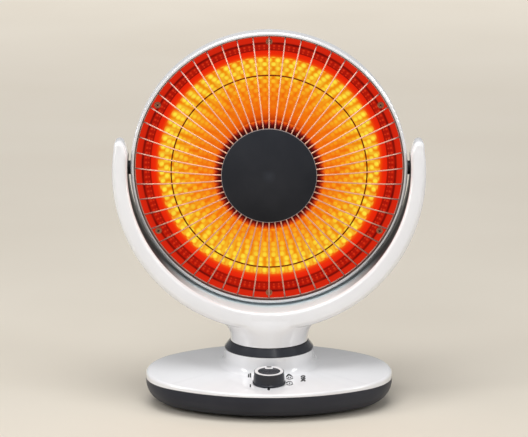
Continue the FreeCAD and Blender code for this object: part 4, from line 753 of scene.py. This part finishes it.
# %% [markdown]
# The solids' meshes are loose triangles, which would show as facets on a gloss moulding. Where a shape is
# right as it is, a copy is merged, shaded smooth up to a small angle, and stands for its node. The guard's
# wires hold far more triangles than they need, so a Decimate modifier keeps a share of them.

# %% Smooth copies of the mouldings
SOFT_EDGE, WIRE_EDGE = 28, 50
GUARD_KEPT = 0.6


def smooth_copy(node, body, material, angle=SOFT_EDGE):
    bm = bmesh.new()
    bm.from_mesh(nodes[node].data)
    return finish_piece(f"{node}_skin", bm, body, [material], [node], angle)


for node in ("yoke_front_shell", "yoke_rear_shell"):
    smooth_copy(node, "yoke", yoke_with_painted_shade.material)
smooth_copy("base_cover", "base", white_moulding)
smooth_copy("base_pan", "base", dark_moulding)
smooth_copy("collar_ring", "base", gloss_dark)
smooth_copy("rubber_feet", "base", black_rubber)
smooth_copy("cord_gland", "base", black_rubber)
smooth_copy("trim_ring", "head", satin_ring.material)
smooth_copy("rear_shell", "head", white_moulding)
guard_skin = smooth_copy("wire_guard", "head", guard_wire.material, WIRE_EDGE)
thinner = guard_skin.modifiers.new("thinner", "DECIMATE")
thinner.ratio = GUARD_KEPT
smooth_copy("hub_cap", "head", hub_disc.material)
smooth_copy("heat_shield", "head", shade_sheet.material)
smooth_copy("reflector_screws", "head", fixing_screw.material)
smooth_copy("reflector_washers", "head", fixing_screw.material)
smooth_copy("control_knob", "knob", gloss_dark)
smooth_copy("knob_ring", "knob", white_ring)

# %% [markdown]
# What lies inside is seen only through vents or when someone takes the part apart, but it gets a real
# finish all the same: nylon gears, plated steel, bare ceramic and clear quartz. The shapes are the solids'
# own, so only the material in each slot is changed.

# %% Inner pieces
HAZE_SCALE, WEAVE_SCALE = 120, 900

clear_quartz = Finish("clear_quartz")
g = clear_quartz
haze = g.noise(g.place(), HAZE_SCALE)
g.set(Base_Color=colour(255, 214, 168), Transmission_Weight=1.0, IOR=1.46,
      Roughness=g.span(haze, 0.4, 0.7, 0.02, 0.12))
hot_carbon = Finish("hot_carbon")
g = hot_carbon
weave = g.noise(g.place(), WEAVE_SCALE)
g.set(Base_Color=(0.03, 0.03, 0.03, 1), Roughness=0.8, Emission_Strength=1.0,
      Emission_Color=g.mix(g.span(weave, 0.4, 0.6), colour(255, 190, 70), colour(255, 120, 20)))

inner_finishes = {
    plated_steel: ["base_screws", "yoke_screws", "post_screws", "post_clip", "hub_screw", "holder_screws",
                   "pivot_nuts", "motor_shaft", "switch_shaft"],
    black_steel: ["pivot_washers", "pivot_stud_left", "pivot_stud_right"],
    plain_nylon: ["rotary_switch", "tip_switch", "tip_plunger", "terminal_block", "swivel_gear", "drive_pinion",
                  "swivel_post", "thrust_washer"],
    sheet_steel: ["swivel_motor", "thermal_cutout"],
    bare_ceramic: ["tube_caps", "element_holder"],
    clear_quartz.material: ["carbon_tube"],
    hot_carbon.material: ["carbon_filament"],
}
for material, names in inner_finishes.items():
    for name in names:
        for slot in nodes[name].material_slots:
            slot.link = "DATA"
            slot.material = material
print("inner pieces finished:", sum(len(names) for names in inner_finishes.values()))

# %% [markdown]
# The panel's marks are printed, so they are flat shapes a hair above the moulding: the settings left and
# right of the knob, a dot for off, and the turn sign for the swivel. Each is drawn flat over the panel, and
# then every corner is let down onto the cover, which is found by casting a ray at it from above. The marks
# are long in depth, because the eye meets the panel at a low angle.

# %% Printing on the panel
ABOVE_PANEL = 80 * MM
INK = 0.06 * MM
DOWN = (0, 0, -1)


def surface_of(node):
    bm = bmesh.new()
    bm.from_mesh(nodes[node].data)
    surface = BVHTree.FromBMesh(bm)
    bm.free()
    return surface


def on_panel(across, along):
    """The place over the panel, in millimetres across and along from the swivel's axis."""
    return Matrix.Translation((across * MM, SWIVEL_Y + along * MM, ABOVE_PANEL))


def let_down(bm, surface):
    """Drop every corner of the flat shapes onto a surface, and leave them an ink's thickness above it."""
    for vert in bm.verts:
        spot, normal, _, _ = surface.ray_cast(vert.co, DOWN)
        vert.co = spot + INK * normal


def bar(bm, width, deep, across, along):
    made = bmesh.ops.create_grid(bm, x_segments=1, y_segments=1, size=0.5)["verts"]
    flat = Matrix.Diagonal((width * MM, deep * MM, 1, 1))
    bmesh.ops.transform(bm, matrix=on_panel(across, along) @ flat, verts=made)


def flat_shape(bm, points, across, along):
    """A flat shape from points in millimetres about a place on the panel."""
    lay = on_panel(across, along)
    bm.faces.new([bm.verts.new(lay @ Vector((x * MM, y * MM, 0))) for x, y in points])


cover_surface = surface_of("base_cover")
print("panel found")

# %% [markdown]
# A turn sign is two bent arrows that chase each other round an oval. Each is an arc between an outer and an
# inner oval, with a three-cornered head, and one or two strokes in the middle tell the signs apart.

# %% Settings and turn signs
ARROW_STARTS, ARROW_SWEEP, ARROW_HEAD = (25, 205), 130, 26
ARC_STEPS = 10
ARC_OUTER, ARC_INNER = (4.1, 6.8), (2.9, 4.6)
HEAD_OUTER, HEAD_TIP, HEAD_INNER = (4.6, 7.6), (3.4, 5.5), (2.2, 3.4)
STROKE, STROKE_APART = (1.0, 5.0), 2.0
HIGH_BARS, HIGH_PLACE = (1.2, 7.0), (-21.3, -50.5)
LOW_BAR, LOW_PLACE = (1.4, 9.5), (-20.2, -81.0)
OFF_DOT, OFF_PLACE, DOT_SIDES = (1.5, 4.2), (-0.3, -92.0), 16
TWO_STROKE_PLACE, ONE_STROKE_PLACE = (22.3, -54.0), (22.2, -73.0)


def on_oval(oval, angle):
    return (oval[0] * math.cos(angle), oval[1] * math.sin(angle))


def turn_sign(bm, across, along, strokes):
    """Two arrows chasing each other round an oval, with one or two strokes inside."""
    for start in ARROW_STARTS:
        sweep = [math.radians(start + ARROW_SWEEP * k / ARC_STEPS) for k in range(ARC_STEPS + 1)]
        arc = [on_oval(ARC_OUTER, a) for a in sweep] + [on_oval(ARC_INNER, a) for a in reversed(sweep)]
        flat_shape(bm, arc, across, along)
        tip = math.radians(start + ARROW_SWEEP + ARROW_HEAD)
        head = [on_oval(HEAD_OUTER, sweep[-1]), on_oval(HEAD_TIP, tip), on_oval(HEAD_INNER, sweep[-1])]
        flat_shape(bm, head, across, along)
    for index in range(strokes):
        bar(bm, *STROKE, across + (index - (strokes - 1) / 2) * STROKE_APART, along)


bm = bmesh.new()
for side in (-1.0, 1.0):
    bar(bm, *HIGH_BARS, HIGH_PLACE[0] + side, HIGH_PLACE[1])
bar(bm, *LOW_BAR, *LOW_PLACE)
flat_shape(bm, [on_oval(OFF_DOT, 2 * math.pi * k / DOT_SIDES) for k in range(DOT_SIDES)], *OFF_PLACE)
turn_sign(bm, *TWO_STROKE_PLACE, 2)
turn_sign(bm, *ONE_STROKE_PLACE, 1)
let_down(bm, cover_surface)
bmesh.ops.recalc_face_normals(bm, faces=bm.faces)
finish_piece("panel_marks", bm, "base", [printed_ink])

# %% [markdown]
# The number beside the signs stands for a swivel all round, and is read from the right. A text curve makes
# the figures and is turned into a mesh. Its strokes are thin, so it is laid down three times, a little
# apart, which makes them bold. The knob's pointer is one more printed bar, on the white ring.

# %% Figures and pointer
FIGURE_PLACES = ((37.0, -58.7), (37.3, -57.8), (37.6, -56.9))
FIGURE_WIDTH, FIGURE_DEPTH = 7.0, 14.0
POINTER, POINTER_INSET = (5.4, 3.6), 2.7

lettering = bpy.data.curves.new("swivel_figures", "FONT")
lettering.body = "360"
lettering.size = 1.0
lettering.align_x = "CENTER"
lettering.align_y = "CENTER"
holder = bpy.data.objects.new("swivel_figures", lettering)
scene.collection.objects.link(holder)
bpy.context.view_layer.update()
flat_text = bpy.data.meshes.new_from_object(holder)
bpy.data.objects.remove(holder)
sideways = Matrix.Diagonal((FIGURE_WIDTH * MM, FIGURE_DEPTH * MM, 1, 1)) @ Matrix.Rotation(math.pi / 2, 4, "Z")
bm = bmesh.new()
for across, along in FIGURE_PLACES:
    known = len(bm.verts)
    bm.from_mesh(flat_text)
    bmesh.ops.transform(bm, matrix=on_panel(across, along) @ sideways, verts=list(bm.verts)[known:])
let_down(bm, cover_surface)
finish_piece("figures_360", bm, "base", [printed_ink])

bm = bmesh.new()
_, ring_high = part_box("knob_ring")
bar(bm, *POINTER, 0.0, (ring_high[1] - SWIVEL_Y) / MM - POINTER_INSET)
let_down(bm, surface_of("knob_ring"))
finish_piece("pointer_dash", bm, "knob", [printed_ink])

# %% [markdown]
# The floor is a pale sheet, only there to catch the shadow. It belongs to the studio and not to the part.
# Far behind the heater the lamps no longer reach it, so there it gives the eye a little light of its own.

# %% Floor
FLOOR_HALF = 6.0
CLOUD_SCALE = 3
FAR_OFF, FAR_GLOW = 2.8, 0.8

bm = bmesh.new()
bmesh.ops.create_grid(bm, x_segments=2, y_segments=2, size=FLOOR_HALF)
floor_mesh = bpy.data.meshes.new("floor")
bm.to_mesh(floor_mesh)
bm.free()
floor = bpy.data.objects.new("floor", floor_mesh)
scene.collection.objects.link(floor)
pale_floor = Finish("pale_floor")
g = pale_floor
pale = g.mix(g.noise(g.place(), CLOUD_SCALE), colour(228, 220, 206), colour(218, 209, 194))
lift = g.span(g.split(g.place())["Y"], 0.0, FAR_OFF, 0.0, FAR_GLOW)
g.set(Base_Color=pale, Roughness=0.7, Emission_Color=pale,
      Emission_Strength=g.math("MULTIPLY", seen_directly(g.tree), lift))
floor_mesh.materials.append(pale_floor.material)
print("floor laid")
